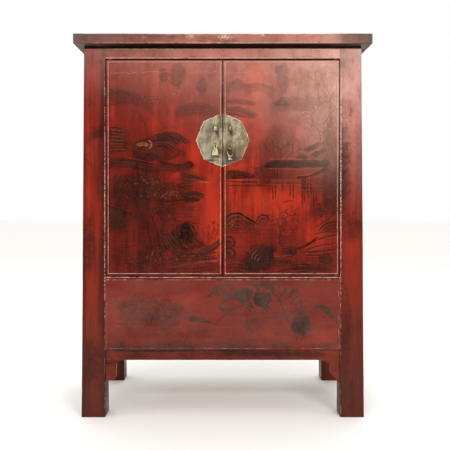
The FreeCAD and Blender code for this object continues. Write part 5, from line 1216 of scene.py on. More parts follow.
def pavilion(art):
    """The pavilion on its stilts: roofs, lattice, platform and posts."""
    for slab in ([(298, 334), (352, 304), (378, 309), (318, 343)],
                 [(320, 353), (384, 322), (391, 340), (346, 365)],
                 [(258, 366), (296, 352), (322, 362), (310, 371)]):
        art.wash(slab, 0.94, 3, 2.5, rub=0.18, bent=False)
    for line in ([(296, 332), (326, 314), (352, 302)], [(316, 346), (350, 366)], [(346, 302), (392, 328)],
                 [(320, 350), (356, 330), (386, 318)]):
        art.stroke(line, 1.7, 0.42, "gold", 0.1, 0.1)
    art.dabs([(346, 318), (400, 372)], 60, 7, 0.7)
    art.wash([(146, 399), (166, 380), (178, 373), (390, 372), (402, 384), (390, 397), (300, 400),
              (180, 402)], 0.96, 3, 2.5, rub=0.14, bent=False)
    art.stroke([(112, 404), (140, 399), (176, 390)], 6, 0.85, start=0.7, end=0.1)
    art.stroke([(174, 370), (270, 368), (388, 370)], 1.7, 0.42, "gold", 0.1, 0.1)
    art.stroke([(156, 404), (260, 406), (384, 402)], 1.7, 0.42, "gold", 0.1, 0.1)
    art.wash([(160, 406), (290, 406), (292, 462), (156, 462)], 0.40, 5, 3, bent=False)
    art.wash([(276, 440), (276, 434), (320, 429), (384, 396), (392, 410), (340, 432), (300, 441)], 0.94, 3,
             2, rub=0.15, bent=False)
    art.stroke([(276, 431), (320, 426), (386, 393)], 1.7, 0.4, "gold", 0.1, 0.1)
    for place in (174, 183, 192, 202, 216):
        lath(art, (place, 406), (place, 441), 5.0, 0.92)
    for height in (412, 424, 435):
        lath(art, (174, height), (216, height + 1), 2.2, 0.7)
    for place in (232, 250, 268, 286):
        lath(art, (place, 408), (place, 441), 2.6, 0.7)
    for place in range(192, 288, 12):
        art.stroke([(place, 444), (place + 6, 457), (place + 12, 444)], 1.9, 0.75, start=0.05, end=0.05,
                   bent=False)
        art.stroke([(place + 3, 446), (place + 6, 453), (place + 9, 446)], 1.4, 0.3, "gold", bent=False)
    for height, strength in ((442, 0.8), (459, 0.92)):
        art.stroke([(148, height), (220, height), (294, height + 1)], 3.2, strength, start=0.05, end=0.05)
        art.stroke([(152, height + 4), (220, height + 4), (290, height + 5)], 1.6, 0.36, "gold", 0.05, 0.05)
    art.wash([(288, 440), (376, 436), (380, 496), (292, 496)], 0.60, 5, 4, bent=False)
    for place in (296, 305, 314, 326):
        lath(art, (place, 444), (place + 1, 498), 5.2, 0.95)
    for place in range(338, 380, 8):
        lath(art, (place, 440), (place + 1, 492), 3.0, 0.8)
    for height in (470, 484, 496):
        art.stroke([(286, height), (382, height)], 1.6, 0.3, "gold", 0.05, 0.05)
        lath(art, (286, height + 3), (382, height + 3), 2.8, 0.85)
    for place, top, foot in ((184, 462, 520), (194, 462, 514), (249, 462, 510), (261, 462, 516),
                             (294, 496, 548), (302, 496, 532), (337, 496, 544), (346, 496, 530),
                             (222, 462, 490), (318, 496, 516)):
        art.stroke([(place, top), (place + 1, foot)], 4.6, 0.95, start=0.05, end=0.3)


def right_growth(art):
    """Streaked water, the growth at the hinge side and a low bank on the left."""
    art.stroke([(222, 531), (242, 524), (262, 526)], 5, 0.8)
    for _ in range(26):
        left = art.random.uniform(14, 180)
        drop = art.random.uniform(30, 100)
        art.stroke([(left, 468), (left + art.random.normal(0, 2), 468 + drop)], 4.5, 0.30, end=0.8)
    art.wash([(378, 330), (424, 300), (425, 552), (400, 566), (380, 520), (390, 440), (376, 400)], 0.62, 12,
             8)
    for _ in range(190):
        start = (374 + art.random.uniform(0, 48), 230 + art.random.uniform(0, 290))
        drop = art.random.uniform(24, 70)
        art.stroke([start, (start[0] + art.random.normal(0, 5), start[1] + drop)], 5, 0.72, end=0.5)
    art.dabs([(378, 260), (424, 560)], 70, 7, 0.22, "gold", slant=80)
    crown(art, (404, 490), (24, 74), 130, 9, 0.95, 0.08)
    crown(art, (390, 548), (38, 22), 70, 9, 0.9, 0.06)
    crown(art, (350, 566), (26, 14), 30, 8, 0.7, 0.05)
    for line in ([(416, 552), (398, 586), (370, 606), (340, 624)], [(384, 560), (360, 586), (338, 600)]):
        art.stroke(line, 5, 0.8, end=0.6)
    art.wash([(8, 422), (44, 410), (70, 412), (106, 424), (122, 438), (60, 444), (8, 444)], 0.9, 5, 3)
    folds(art, [(10, 416), (44, 410), (92, 424)], [(12, 438), (60, 436), (118, 438)], 4, 7, 0.9, 0.4, 1.4)
    art.stroke([(8, 450), (80, 454), (156, 452)], 5, 0.8)
    art.stroke([(8, 445), (70, 447), (140, 446)], 1.8, 0.6, "gold")
    art.stroke([(8, 466), (90, 468), (186, 466)], 4.4, 0.8)
    crown(art, (146, 432), (30, 34), 70, 9, 0.75, 0.12)
    art.dabs([(124, 450), (160, 476)], 14, 8, 0.8)


def right_bank(art):
    """The near bank: bowed lines, a dark clump, a low stand, long branches and the foot."""
    art.wash([(12, 594), (30, 578), (58, 573), (86, 586), (126, 610), (96, 630), (12, 632)], 0.42, 7, 6)
    art.wash([(126, 602), (138, 584), (154, 578), (166, 588), (170, 606), (140, 612)], 0.42, 6, 5)
    for bow, width in (([(12, 594), (28, 578), (58, 572), (84, 584), (104, 600), (130, 611)], 8),
                       ([(124, 602), (136, 584), (152, 577), (165, 586), (170, 604)], 6.5),
                       ([(16, 608), (34, 592), (58, 588), (78, 600), (94, 614)], 5),
                       ([(134, 606), (144, 593), (156, 594)], 4),
                       ([(20, 624), (38, 606), (60, 602), (76, 617)], 5),
                       ([(32, 628), (46, 616), (62, 618)], 4), ([(84, 620), (100, 612), (116, 618)], 4)):
        bow = np.array(bow) + art.random.normal(0, 1.2, (len(bow), 2))
        art.stroke(bow, width, 1.0, start=0.15, end=0.25, rub=0.12)
        art.stroke(bow + (1.5, width * 0.6 + 1.0), 1.5, 0.30, "gold", 0.2, 0.3)
    art.dabs([(20, 598), (48, 618)], 7, 6, 0.7, "gold")
    folds(art, [(10, 628), (90, 626), (200, 634)], [(10, 640), (80, 642), (190, 646)], 3, 6, 0.62, 0.2, 1.6)
    for _ in range(26):
        height, left = 590 + art.random.uniform(0, 170), art.random.uniform(10, 240)
        art.stroke([(left, height), (left + 30, height + 3), (left + 70, height)], 4, 0.42)
    twigs(art, (214, 694), math.radians(84), 54, 6.0, 5, 0.82, 0.45)
    art.dabs([(180, 566), (306, 632)], 90, 8, 0.8)
    art.dabs([(214, 576), (236, 700)], 60, 9, 0.9)
    art.dabs([(140, 636), (330, 700)], 110, 8, 0.45)
    for top in (658, 700):
        art.wash([(8, top), (30, top + 1), (44, top + 18), (38, top + 36), (8, top + 40)], 0.66, 6, 4)
        art.stroke([(8, top), (30, top + 1), (44, top + 16), (40, top + 32), (22, top + 40)], 6.5, 0.95)
        art.stroke([(10, top + 8), (26, top + 9), (36, top + 19), (32, top + 30)], 1.8, 0.36, "gold")
        art.stroke([(10, top + 18), (22, top + 18), (28, top + 26)], 4, 0.9)
    art.wash([(82, 782), (92, 748), (106, 722), (126, 697), (156, 690), (184, 704), (182, 744), (160, 780),
              (120, 786)], 0.92, 8, 8, rub=0.15)
    folds(art, [(92, 778), (102, 742), (126, 708)], [(162, 780), (176, 746), (176, 708)], 8, 8, 0.97, 0.2, 4)
    crown(art, (150, 704), (44, 18), 60, 10, 1.0, 0.05)
    crown(art, (100, 748), (22, 30), 44, 10, 0.95, 0.05)
    crown(art, (166, 744), (20, 34), 44, 10, 0.95, 0.05)
    for bow in ([(106, 744), (111, 724), (126, 711)], [(116, 748), (121, 731), (135, 720)],
                [(127, 750), (132, 739), (143, 731)]):
        art.stroke(bow, 2.2, 0.6, "gold")
    crown(art, (246, 712), (24, 17), 80, 9, 1.0, 0.06)
    art.wash([(230, 706), (246, 698), (264, 706), (262, 722), (232, 724)], 0.9, 6, 5)
    for line in ([(184, 738), (196, 733), (250, 733), (258, 740)], [(192, 740), (186, 764)],
                 [(246, 740), (254, 764)], [(190, 750), (250, 749)]):
        art.stroke(line, 4.6, 0.92)
    art.stroke([(186, 732), (250, 729)], 1.8, 0.5, "gold", 0.05, 0.05)
    art.stroke([(190, 762), (252, 762)], 1.8, 0.4, "gold", 0.05, 0.05)
    art.wash([(190, 742), (250, 742), (256, 766), (184, 768)], 0.62, 5, 3)
    art.stroke([(262, 708), (300, 694), (330, 676), (356, 656)], 7, 0.95)
    for line, width in (([(358, 636), (372, 618), (392, 606), (424, 601)], 7.5),
                        ([(370, 638), (388, 622), (424, 613)], 5), ([(384, 640), (400, 630), (424, 626)], 4),
                        ([(340, 650), (380, 640), (424, 641)], 5),
                        ([(300, 700), (350, 670), (396, 656), (424, 652)], 5),
                        ([(306, 708), (356, 692), (424, 684)], 4.5),
                        ([(288, 716), (350, 714), (424, 704)], 5),
                        ([(300, 726), (360, 728), (424, 720)], 4)):
        art.stroke(line, width, 0.92, start=0.3, end=0.3, rub=0.22)
        art.stroke(np.array(line) + (2, width * 0.6 + 0.8), 1.4, 0.28, "gold")
    art.wash([(362, 638), (376, 618), (394, 608), (424, 604), (424, 640)], 0.5, 6, 5)
    art.dabs([(270, 660), (424, 728)], 60, 7, 0.6)
    crown(art, (382, 742), (24, 16), 64, 8, 0.98, 0.1)
    folds(art, [(424, 766), (340, 758), (262, 764), (186, 790)],
          [(424, 788), (330, 784), (250, 790), (190, 794)], 4, 7, 0.75, 0.25, 2.0)
    art.dabs([(250, 726), (424, 788)], 130, 8, 0.7, slant=5)
    art.dabs([(20, 736), (96, 788)], 60, 10, 0.7)
    folds(art, [(10, 764), (50, 760), (90, 770)], [(10, 786), (50, 784), (90, 788)], 3, 8, 0.7, 0.3, 2)


def paint_right_door(art):
    warmth(art, 0.50, (((190, 520), (190, 75), 0.48), ((130, 70), (70, 66), 0.40),
                       ((90, 260), (90, 130), 0.28), ((300, 280), (34, 44), 0.30),
                       ((60, 400), (60, 30), 0.22), ((350, 660), (70, 50), 0.24),
                       ((400, 300), (60, 180), -0.20), ((250, 770), (240, 50), -0.22),
                       ((60, 690), (50, 40), 0.10), ((400, 500), (40, 120), -0.20)))
    right_hills(art)
    right_trees(art)
    pavilion(art)
    right_growth(art)
    right_bank(art)


door_paint = painted_lacquer("door_paint", "Z", 23.0, WORN_PALE)
DOOR_EDGE_STEPS = (0, 0.35, 1.0, 2.0, 3.0, 4.0, 5.4, 6.6, 7.6, 8.5, 9.1, 9.8, 11.0)
lacquer_coat("door_left_coat", "door_left", door_paint, (-434.05, 1329.55), (DOOR_WIDTH, DOOR_HEIGHT),
             DOOR_EDGE_STEPS, door_profile(434.05), paint_left_door, 231)
lacquer_coat("door_right_coat", "door_right", door_paint, (1.45, 1329.55), (DOOR_WIDTH, DOOR_HEIGHT),
             DOOR_EDGE_STEPS, door_profile(-1.45), paint_right_door, 237)


# The lock plate: a disc of beaten brass, 2 mm thick, cut to eight pointed lobes and split down
# the middle, half on each door. Green-grey patina, with the rim rubbed pale, and painted
# shadows under the loops and pulls and round the lower rim.

def aged_brass(name, dull, bright, rubbed, metal=0.55, rough=0.42, seed=0.0):
    """Old brass: patina in blotches, a rubbed colour where the mark "rim" is high, dark
    verdigris in the hollows, and painted shadow with some old grime where the mark "soot" is."""
    cast = Finish(name, rough, 0.4)
    cast.surface.inputs["Metallic"].default_value = metal
    shift = (seed, seed * 0.6, seed * 1.4)
    blotch = cast.noise((38, 38, 30), 6, 0.66, shift)
    runs = cast.noise((90, 90, 22), 5, 0.6, shift)
    pits = cast.noise((260, 260, 260), 4, 0.7, shift)
    colour = cast.blend(cast.ease(blotch, 0.36, 0.64), dull, bright)
    colour = cast.blend(cast.ease(runs, 0.46, 0.70, 0.0, 0.72), colour, scaled(dull, 0.36))
    colour = cast.blend(cast.ease(pits, 0.28, 0.42, 0.6, 0.0), colour, (0.035, 0.035, 0.022))
    lit = cast.plus(cast.mark("rim"), cast.ease(runs, 0.3, 0.7, 0.30, -0.42))
    lit = cast.ease(lit, 0.35, 0.85)
    colour = cast.blend(lit, colour, rubbed)
    brown = cast.noise((22, 22, 16), 5, 0.6, scaled(shift, 3))
    across = cast.spot()["X"]
    brown = cast.plus(brown, cast.ease(across, -0.02, 0.03, -0.03, 0.07))
    colour = cast.blend(cast.ease(brown, 0.48, 0.62, 0.0, 0.75), colour, (0.120, 0.074, 0.034))
    green = cast.times(cast.ease(across, 0.0, -0.06), cast.ease(brown, 0.52, 0.36))
    colour = cast.blend(cast.times(green, 0.55), colour, (0.170, 0.185, 0.125))
    # Painted shadow and old grime where the mark "soot" is.
    colour = cast.blend(cast.times(cast.mark("soot"), cast.ease(pits, 0.2, 0.6, 0.7, 1.0)), colour,
                        (0.022, 0.018, 0.012))
    shine = cast.ease(blotch, 0.3, 0.7, rough - 0.08, rough + 0.14)
    relief = cast.plus(blotch, cast.times(pits, 0.25))
    return cast.done(colour, shine, relief, 0.4, 0.0008)


plate_brass = aged_brass("plate_brass", (0.125, 0.100, 0.058), (0.400, 0.320, 0.205), (0.720, 0.560, 0.450),
                         metal=0.35, rough=0.45, seed=2.0)
PLATE_CENTRE = Vector((0.0, 0.0, 1.031))
PLATE_TIP = 0.101
LOBES = 8
STEPS_PER_LOBE = 24
LOBE_EDGE = np.array([(0, 1), (0.14, 0.966), (0.36, 0.945), (0.72, 0.935), (1, 0.90)])
PLATE_FRONT, PLATE_BACK = -0.2360, -0.2340
PLATE_SPLIT = 0.0015
# Painted shadows under the loops and pulls and round the plate's lower rim, with some old grime: each its
# place, spread and strength.
SHADOWS_AND_GRIME = ((-0.0220, 1.0620, 0.0062, 0.0100, 1.3), (0.0310, 1.0620, 0.0056, 0.0120, 1.3),
        (-0.0170, 1.0480, 0.0066, 0.0090, 0.7), (0.0350, 1.0500, 0.0050, 0.0110, 0.6),
        (-0.0240, 0.9690, 0.0150, 0.0040, 1.2), (-0.0130, 0.9880, 0.0040, 0.0150, 0.8),
        (0.0275, 0.9860, 0.0095, 0.0150, 1.2), (0.0440, 0.9800, 0.0060, 0.0200, 0.8),
        (0.0300, 1.0060, 0.0050, 0.0060, 1.1), (-0.0250, 1.0040, 0.0050, 0.0060, 1.1),
        (0.0120, 0.9480, 0.0200, 0.0080, 0.35), (-0.0560, 1.0560, 0.0120, 0.0180, 0.35),
        (0.0620, 1.0100, 0.0100, 0.0240, 0.35), (-0.0450, 0.9560, 0.0240, 0.0042, 1.1),
        (0.0430, 0.9600, 0.0280, 0.0120, 0.7), (0.0160, 0.9760, 0.0100, 0.0280, 0.6))


def plate_reach(turn):
    """How far the plate's edge lies from its centre in a direction counted from straight up."""
    share = abs((turn / (math.pi / LOBES) + 1) % 2 - 1)
    edge = curved(LOBE_EDGE)
    return PLATE_TIP * float(np.interp(share, edge[:, 0], edge[:, 1]))


def lock_plate(side, half):
    shares = (*np.arange(0.04, 0.93, 0.04), 0.94, 0.965, 0.985, 1.0)
    turns = all_round(LOBES * STEPS_PER_LOBE)
    bm = bmesh.new()
    rim = bm.verts.layers.float.new("rim")
    soot = bm.verts.layers.float.new("soot")
    middle = bm.verts.new((0, PLATE_FRONT + 0.0006, PLATE_CENTRE.z))
    rings = []
    for share in shares:
        ring = []
        for turn in turns:
            reach = plate_reach(turn) * share
            beaten = 0.00025 * math.sin(reach * 310 + 3 * math.sin(turn * 3)) * math.cos(turn * 7
                                                                                         + reach * 90)
            dish = 0.0006 * (1 - share ** 6) + beaten * (1 - share ** 3)
            ease_back = 0.0007 * max(0, (share - 0.985) / 0.015) ** 2
            vert = bm.verts.new((reach * math.sin(turn), PLATE_FRONT + abs(dish) + ease_back,
                                 PLATE_CENTRE.z + reach * math.cos(turn)))
            vert[rim] = 1.0 if share > 0.97 else 0.0
            # Painted shadow and old grime, from the spots listed above.
            vert[soot] = min(1.0, sum(amount * math.exp(-((vert.co.x - x) / wide) ** 2
                                                        - ((vert.co.z - z) / high) ** 2) for x, z, wide,
                                      high, amount in SHADOWS_AND_GRIME))
            ring.append(vert)
        rings.append(ring)
    back = [bm.verts.new((vert.co.x, PLATE_BACK, vert.co.z)) for vert in rings[-1]]
    hub = bm.verts.new((0, PLATE_BACK, PLATE_CENTRE.z))
    rings.append(back)
    count = len(turns)
    for number in range(count):
        after = (number + 1) % count
        bm.faces.new((middle, rings[0][number], rings[0][after]))
        bm.faces.new((hub, back[after], back[number]))
        for inner, outer in zip(rings[:-1], rings[1:]):
            bm.faces.new((inner[number], outer[number], outer[after], inner[after]))
    bmesh.ops.bisect_plane(bm, geom=bm.verts[:] + bm.edges[:] + bm.faces[:],
                           plane_co=(half * PLATE_SPLIT, 0, 0), plane_no=(-half, 0, 0), clear_outer=True)
    bmesh.ops.holes_fill(bm, edges=[edge for edge in bm.edges if edge.is_boundary], sides=0)
    bmesh.ops.triangulate(bm, faces=[face for face in bm.faces if len(face.verts) > 4])
    mesh = bpy.data.meshes.new(f"lock_plate_{side}_brass")
    turned_out(bm, mesh)
    for polygon in mesh.polygons:
        polygon.use_smooth = abs(polygon.normal.y) > 0.7
    plate = placed(mesh.name, mesh)
    mesh.materials.append(plate_brass)
    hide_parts(f"lock_plate_{side}")
    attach(plate, f"door_{side}")


lock_plate("left", -1)
lock_plate("right", 1)

# The padlock loops and the staples that hold the pulls: brass wire bent to a ring, its two ends
# driven through the door or drawer front as a split pin and clinched behind.

loop_brass = aged_brass("loop_brass", (0.24, 0.21, 0.13), (0.42, 0.36, 0.22), (0.62, 0.55, 0.38), metal=0.8,
                        rough=0.34, seed=4.0)


def new_tree(name, sockets):
    """An empty node tree with its named inputs and its one output."""
    tree = bpy.data.node_groups.new(name, "GeometryNodeTree")
    for label, kind in sockets:
        way = "OUTPUT" if label == sockets[-1][0] else "INPUT"
        tree.interface.new_socket(label, in_out=way, socket_type="NodeSocket" + kind)
    add = tree.nodes.new
    return tree, add, add("NodeGroupInput").outputs, add("NodeGroupOutput").inputs


def bent_wire_tree():
    """Sweeps a round wire along every run of a path; the mark "thick" scales it."""
    tree, add, given, out = new_tree("bent_wire",
                                     (("Path", "Geometry"), ("Wire radius", "Float"), ("Sides", "Int"),
                                      ("Brass", "Material"), ("Wire", "Geometry")))
    runs, ring = add("GeometryNodeMeshToCurve"), add("GeometryNodeCurvePrimitiveCircle")
    sweep, thick = add("GeometryNodeCurveToMesh"), add("GeometryNodeInputNamedAttribute")
    smooth, real = add("GeometryNodeSetShadeSmooth"), add("GeometryNodeRealizeInstances")
    coat = add("GeometryNodeSetMaterial")
    thick.inputs["Name"].default_value = "thick"
    sweep.inputs["Fill Caps"].default_value = True
    join(tree, (given["Path"], runs.inputs["Mesh"]), (given["Sides"], ring.inputs["Resolution"]),
         (given["Wire radius"], ring.inputs["Radius"]), (runs.outputs["Curve"], sweep.inputs["Curve"]),
         (ring.outputs["Curve"], sweep.inputs["Profile Curve"]),
         (thick.outputs["Attribute"], sweep.inputs["Scale"]),
         (sweep.outputs["Mesh"], smooth.inputs["Geometry"]),
         (smooth.outputs["Geometry"], real.inputs["Geometry"]),
         (real.outputs["Geometry"], coat.inputs["Geometry"]), (given["Brass"], coat.inputs["Material"]),
         (coat.outputs["Geometry"], out["Wire"]))
    return tree


bent_wire = bent_wire_tree()


def grown(tree, base, **given):
    """Runs a node tree on a base mesh and returns the plain mesh that comes out."""
    seedling = placed("seedling", base)
    growth = seedling.modifiers.new("growth", "NODES")
    growth.node_group = tree
    named = {item.name.replace(" ", "_"): item.identifier for item in tree.interface.items_tree
             if item.in_out == "INPUT"}
    for label, value in given.items():
        growth[named[label]] = value
    ready = seedling.evaluated_get(bpy.context.evaluated_depsgraph_get())
    mesh = bpy.data.meshes.new_from_object(ready)
    bpy.data.objects.remove(seedling)
    return mesh


def wires(name, runs, radius, finish, sides=10):
    """Wire bent along several runs. Each run is its points, whether it closes, and how thick
    it is at each point."""
    points, edges, thick = [], [], []
    for line, closed, share in runs:
        start = len(points)
        points += [tuple(spot) for spot in line]
        thick += list(np.broadcast_to(share, len(line)))
        edges += [(start + number, start + number + 1) for number in range(len(line) - 1)]
        if closed:
            edges.append((start + len(line) - 1, start))
    path = bpy.data.meshes.new(name + "_path")
    path.from_pydata(points, edges, [])
    path.attributes.new("thick", "FLOAT", "POINT").data.foreach_set("value",
                                                                    np.array(thick, dtype=np.float32))
    mesh = grown(bent_wire, path, Wire_radius=radius, Sides=sides, Brass=finish)
    mesh.name = name
    return mesh


def wire_ring(centre, radius, along, count=28):
    """A ring of wire with its hole along X or Y."""
    spots = []
    for turn in all_round(count):
        side, up = radius * math.sin(turn), radius * math.cos(turn)
        spots.append(centre + (Vector((0, side, up)) if along == "X" else Vector((side, 0, up))))
    return spots


def add_rim_mark(mesh, value_of):
    values = np.array([value_of(vert.co) for vert in mesh.vertices], dtype=np.float32)
    mesh.attributes.new("rim", "FLOAT", "POINT").data.foreach_set("value", values)


def lofted(bm, rings):
    """Skins over a run of rings and closes both ends."""
    count = len(rings[0])
    for upper, lower in zip(rings[:-1], rings[1:]):
        for number in range(count):
            after = (number + 1) % count
            bm.faces.new((upper[number], upper[after], lower[after], lower[number]))
    bm.faces.new(rings[0][::-1])
    bm.faces.new(rings[-1])


ROSE_STEPS = ((1.0, 0.0), (1.0, 0.0004), (0.8, 0.0009), (0.45, 0.0012))


def washer(bm, centre, face, radius):
    """A thin rose under a staple, domed, and closed at its foot."""
    lofted(bm, [[bm.verts.new((centre.x + radius * share * math.cos(turn), face - proud,
                               centre.z + radius * share * math.sin(turn))) for turn in all_round(16)]
                for share, proud in ROSE_STEPS])


def staple(name, node, body, posts, face, back, wire_scale):
    """Each post is the centre of its ring, the ring's radius and wire, and how much the wire is
    hammered out to a strap."""
    runs, roses = [], []
    for x, ring_depth, z, radius, wire, _ in posts:
        centre = Vector((x, ring_depth, z))
        scale = wire / wire_scale
        ring = wire_ring(centre, radius, "X")
        bulge = [scale * (1.0 + 0.14 * math.cos(turn) ** 2) for turn in all_round(len(ring))]
        runs.append((ring, True, bulge))
        for lean in (-1, 1):
            runs.append(([centre + Vector((0, radius * 0.86, lean * radius * 0.42)),
                          Vector((x, face - 0.0006, z + lean * wire * 0.55)),
                          Vector((x, face + 0.004, z + lean * wire * 0.45)),
                          Vector((x, back - 0.001, z + lean * wire * 0.45)),
                          Vector((x, back + wire * 0.35, z + lean * wire * 1.2)),
                          Vector((x, back + wire * 0.45, z + lean * 0.0135))], False, scale * 0.5))
        roses.append((Vector((x, 0, z)), wire * 2.3))
    mesh = wires(name, runs, wire_scale, loop_brass)
    for vert in mesh.vertices:
        for x, _, z, radius, wire, strap in posts:
            if vert.co.y < face - 0.0012 and abs(vert.co.z - z) < radius + wire * 1.5:
                vert.co.x = x + (vert.co.x - x) * strap
    bm = bmesh.new()
    bm.from_mesh(mesh)
    for centre, radius in roses:
        washer(bm, centre, face + 0.0002, radius)
    turned_out(bm, mesh)
    add_rim_mark(mesh, lambda spot: 0.75 if spot.y < face - 0.006 else 0.2)
    pin = placed(name, mesh)
    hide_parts(node)
    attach(pin, body)


DOOR_FACE_AT_PLATE, DOOR_BACK = PLATE_FRONT + 0.0006, -0.210
DRAWER_FACE, DRAWER_BACK = -0.1400, -0.1200
THICKEST_WIRE = 0.0026
LOOP_POST = (0.027, -0.247, 1.075, 0.0085, 0.0022, 2.3)
PULL_POST = (0.0275, -0.2422, 1.013, 0.0044, 0.0015, 1.5)
DRAWER_POST = (0.196, -0.1462, 0.95725, 0.0044, 0.0015, 1.5)


def on_hand(hand, post):
    """A post of the right hand, or its mirror image on the left."""
    return (hand * post[0], *post[1:])


for side, hand in (("left", -1), ("right", 1)):
    staple(f"door_{side}_staple_wire", f"door_{side}_staples", f"door_{side}",
           [on_hand(hand, LOOP_POST), on_hand(hand, PULL_POST)], DOOR_FACE_AT_PLATE, DOOR_BACK,
           THICKEST_WIRE)
    staple(f"drawer_{side}_staple_wire", f"drawer_{side}_staple", f"drawer_{side}",
           [on_hand(hand, DRAWER_POST)], DRAWER_FACE, DRAWER_BACK, THICKEST_WIRE)

# The pulls: cast brass drops that hang by a ring from their staples. The left door has a solid
# flared bell, bright from handling; the right door an open vase; the drawers small bells.

bell_brass = aged_brass("bell_brass", (0.36, 0.29, 0.12), (0.58, 0.48, 0.24), (0.80, 0.70, 0.42), metal=0.75,
                        rough=0.32, seed=6.0)
vase_brass = aged_brass("vase_brass", (0.22, 0.19, 0.10), (0.44, 0.37, 0.20), (0.66, 0.57, 0.36), metal=0.7,
                        rough=0.36, seed=7.0)
BELL_SIDE = ((0.0, 0.13), (0.05, 0.20), (0.11, 0.19), (0.16, 0.27), (0.30, 0.33), (0.50, 0.38), (0.70, 0.43),
             (0.86, 0.485), (0.94, 0.50), (1.0, 0.46))
VASE_SIDE = ((0.0, 0.12), (0.06, 0.36), (0.20, 0.50), (0.34, 0.47), (0.48, 0.40), (0.62, 0.30),
             (0.74, 0.215), (0.86, 0.215), (0.94, 0.265), (1.0, 0.25))


def cast_drop(bm, crown, width, height, side, thickness, span=(0.0, 1.0), levels=22, sections=20):
    """A cast body with a rounded section, lofted down from its crown between two shares of its
    height."""
    given = np.array(side)
    rings = []
    for share in np.linspace(*span, levels):
        half = np.interp(share, given[:, 0], given[:, 1]) * width
        end = min(share - span[0], span[1] - share) / (span[1] - span[0])
        deep = thickness / 2 * min(1.0, 0.45 + 5 * end)
        ring = []
        for turn in all_round(sections):
            across, depth = math.sin(turn), math.cos(turn)
            across = math.copysign(abs(across) ** 0.85, across)
            depth = math.copysign(abs(depth) ** 0.85, depth)
            ring.append(bm.verts.new((crown.x + half * across, crown.y + min(deep, half) * depth,
                                      crown.z - share * height)))
        rings.append(ring)
    lofted(bm, rings)


def pull(name, node, body, eye, shape, finish, width, height):
    ring_radius, wire = 0.0054, 0.0015
    ring_centre = eye - Vector((0, 0, ring_radius))
    crown = ring_centre - Vector((0, 0, ring_radius))
    runs = [(wire_ring(ring_centre, ring_radius, "Y"), True, 1.0)]
    if shape == "vase":
        inset = 0.0023
        sides = [(share, half * width - inset) for share, half in VASE_SIDE if 0.0 < share < 0.7]
        line = [Vector((0.06 * width, 0, -0.004))] \
            + [Vector((half, 0, -share * height)) for share, half in sides] \
            + [Vector((0.10 * width, 0, -0.66 * height))]
        loop = line + [Vector((-spot.x, 0, spot.z)) for spot in line[::-1]]
        flat = curved(np.array([(spot.x, spot.z) for spot in loop + loop[:1]]))[:-1]
        runs.append(([crown + Vector((x, 0, z)) for x, z in flat], True, 1.5))
    mesh = wires(name, runs, wire, finish)
    bm = bmesh.new()
    bm.from_mesh(mesh)
    if shape == "bell":
        cast_drop(bm, crown + Vector((0, 0, 0.0008)), width, height, BELL_SIDE, 0.0058)
    else:
        cast_drop(bm, crown + Vector((0, 0, 0.0008)), width, height, VASE_SIDE, 0.0052, (0.60, 1.0), 14)
        cast_drop(bm, crown + Vector((0, 0, 0.0012)), 0.010, 0.008, BELL_SIDE, 0.0050, (0.0, 1.0), 8)
    turned_out(bm, mesh)
    for polygon in mesh.polygons:
        polygon.use_smooth = len(polygon.vertices) < 5
    add_rim_mark(mesh, lambda spot: 0.8 if spot.z > crown.z else 0.25
                 + 0.6 * min(1.0, max(0.0, (crown.z - spot.z) / height)))
    mesh.materials.clear()
    mesh.materials.append(finish)
    drop = placed(name, mesh)
    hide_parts(node)
    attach(drop, body)


BELL_SIZE, VASE_SIZE = (0.026, 0.028), (0.029, 0.046)
for side, hand, name, shape, finish, size in (
        ("left", -1, "door_left_bell", "bell", bell_brass, BELL_SIZE),
        ("right", 1, "door_right_vase", "vase", vase_brass, VASE_SIZE)):
    pull(name, f"door_{side}_pull", f"door_{side}_pull", Vector(on_hand(hand, PULL_POST)[:3]), shape, finish,
         *size)
for side, hand in (("left", -1), ("right", 1)):
    pull(f"drawer_{side}_bell", f"drawer_{side}_pull", f"drawer_{side}_pull",
         Vector(on_hand(hand, DRAWER_POST)[:3]), "bell", vase_brass, *BELL_SIZE)

# The two drawers behind the doors: lacquered fronts on plain boxes of thin bare wood, which
# slide on the drawer floor between the divider and the cheeks.

drawer_lacquer = red_lacquer("drawer_lacquer", "X", (0.12, 0.016, 0.009), (0.23, 0.028, 0.013), WORN_PALE,
                             seed=33.0, wear=0.55)
for side in ("left", "right"):
    planed(f"drawer_{side}_front", drawer_lacquer, body=f"drawer_{side}", seed=95)
    planed(f"drawer_{side}_box", inner_bearers, body=f"drawer_{side}", seed=97, bevel=0.0006)

# Wrought nails hold the rear boards to the battens and the rails: square shanks under small
# domed iron heads, in rows, no two quite alike.

nail_iron = Finish("nail_iron", 0.62, 0.4)
nail_iron.surface.inputs["Metallic"].default_value = 0.6
rust = nail_iron.noise((240, 240, 240), 5, 0.7)
nail_iron.done(nail_iron.blend(nail_iron.ease(rust, 0.35, 0.65), (0.035, 0.028, 0.024),
                               (0.115, 0.055, 0.030)), nail_iron.ease(rust, 0.3, 0.7, 0.5, 0.8), rust, 0.4,
               0.0005)


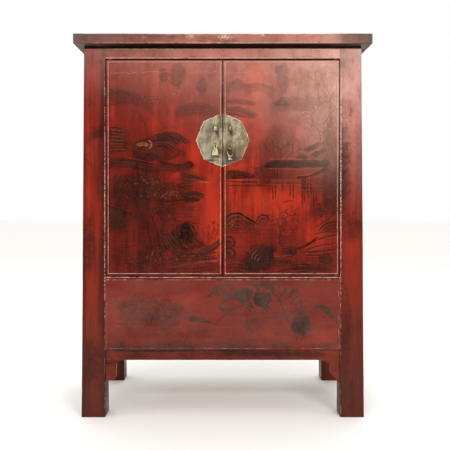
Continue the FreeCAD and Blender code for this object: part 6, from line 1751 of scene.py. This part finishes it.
def nail_tree():
    """Sets a low domed head on every point of a base mesh, each turned and sized a little."""
    tree, add, given, out = new_tree("nail_heads",
                                     (("Places", "Geometry"), ("Head radius", "Float"), ("Seed", "Int"),
                                      ("Iron", "Material"), ("Heads", "Geometry")))
    head, spots = add("GeometryNodeMeshUVSphere"), add("GeometryNodeMeshToPoints")
    turn, size = add("FunctionNodeRandomValue"), add("FunctionNodeRandomValue")
    turn.data_type, size.data_type = "FLOAT_VECTOR", "FLOAT_VECTOR"
    turn.inputs["Min"].default_value, turn.inputs["Max"].default_value = (0, 0, 0), (0.12, 6.28, 0.12)
    size.inputs["Min"].default_value, size.inputs["Max"].default_value = (0.85, 0.32, 0.85), (1.15, 0.46,
                                                                                              1.15)
    place, real = add("GeometryNodeInstanceOnPoints"), add("GeometryNodeRealizeInstances")
    coat = add("GeometryNodeSetMaterial")
    head.inputs["Segments"].default_value, head.inputs["Rings"].default_value = 8, 6
    join(tree, (given["Places"], spots.inputs["Mesh"]), (spots.outputs["Points"], place.inputs["Points"]),
         (given["Head radius"], head.inputs["Radius"]), (head.outputs["Mesh"], place.inputs["Instance"]),
         (given["Seed"], turn.inputs["Seed"]), (given["Seed"], size.inputs["Seed"]),
         (turn.outputs[0], place.inputs["Rotation"]), (size.outputs[0], place.inputs["Scale"]),
         (place.outputs["Instances"], real.inputs["Geometry"]),
         (real.outputs["Geometry"], coat.inputs["Geometry"]), (given["Iron"], coat.inputs["Material"]),
         (coat.outputs["Geometry"], out["Heads"]))
    return tree


BOARD_BACK, BOARDS, BOARDED_WIDTH = 0.2340, 4, 0.874
NAIL_HEIGHTS = (0.2555, 1.3300)
nail_places = [(-BOARDED_WIDTH / 2 + BOARDED_WIDTH * (board + share) / BOARDS, BOARD_BACK, z)
               for board in range(BOARDS) for share in (0.2, 0.5, 0.8) for z in NAIL_HEIGHTS]
nail_base = bpy.data.meshes.new("nail_places")
nail_base.from_pydata(nail_places, [], [])
nail_mesh = grown(nail_tree(), nail_base, Head_radius=0.0042, Seed=7, Iron=nail_iron.material)
nail_mesh.name = "rear_nails"
nails = placed("rear_nails", nail_mesh)
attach(nails, "carcass")
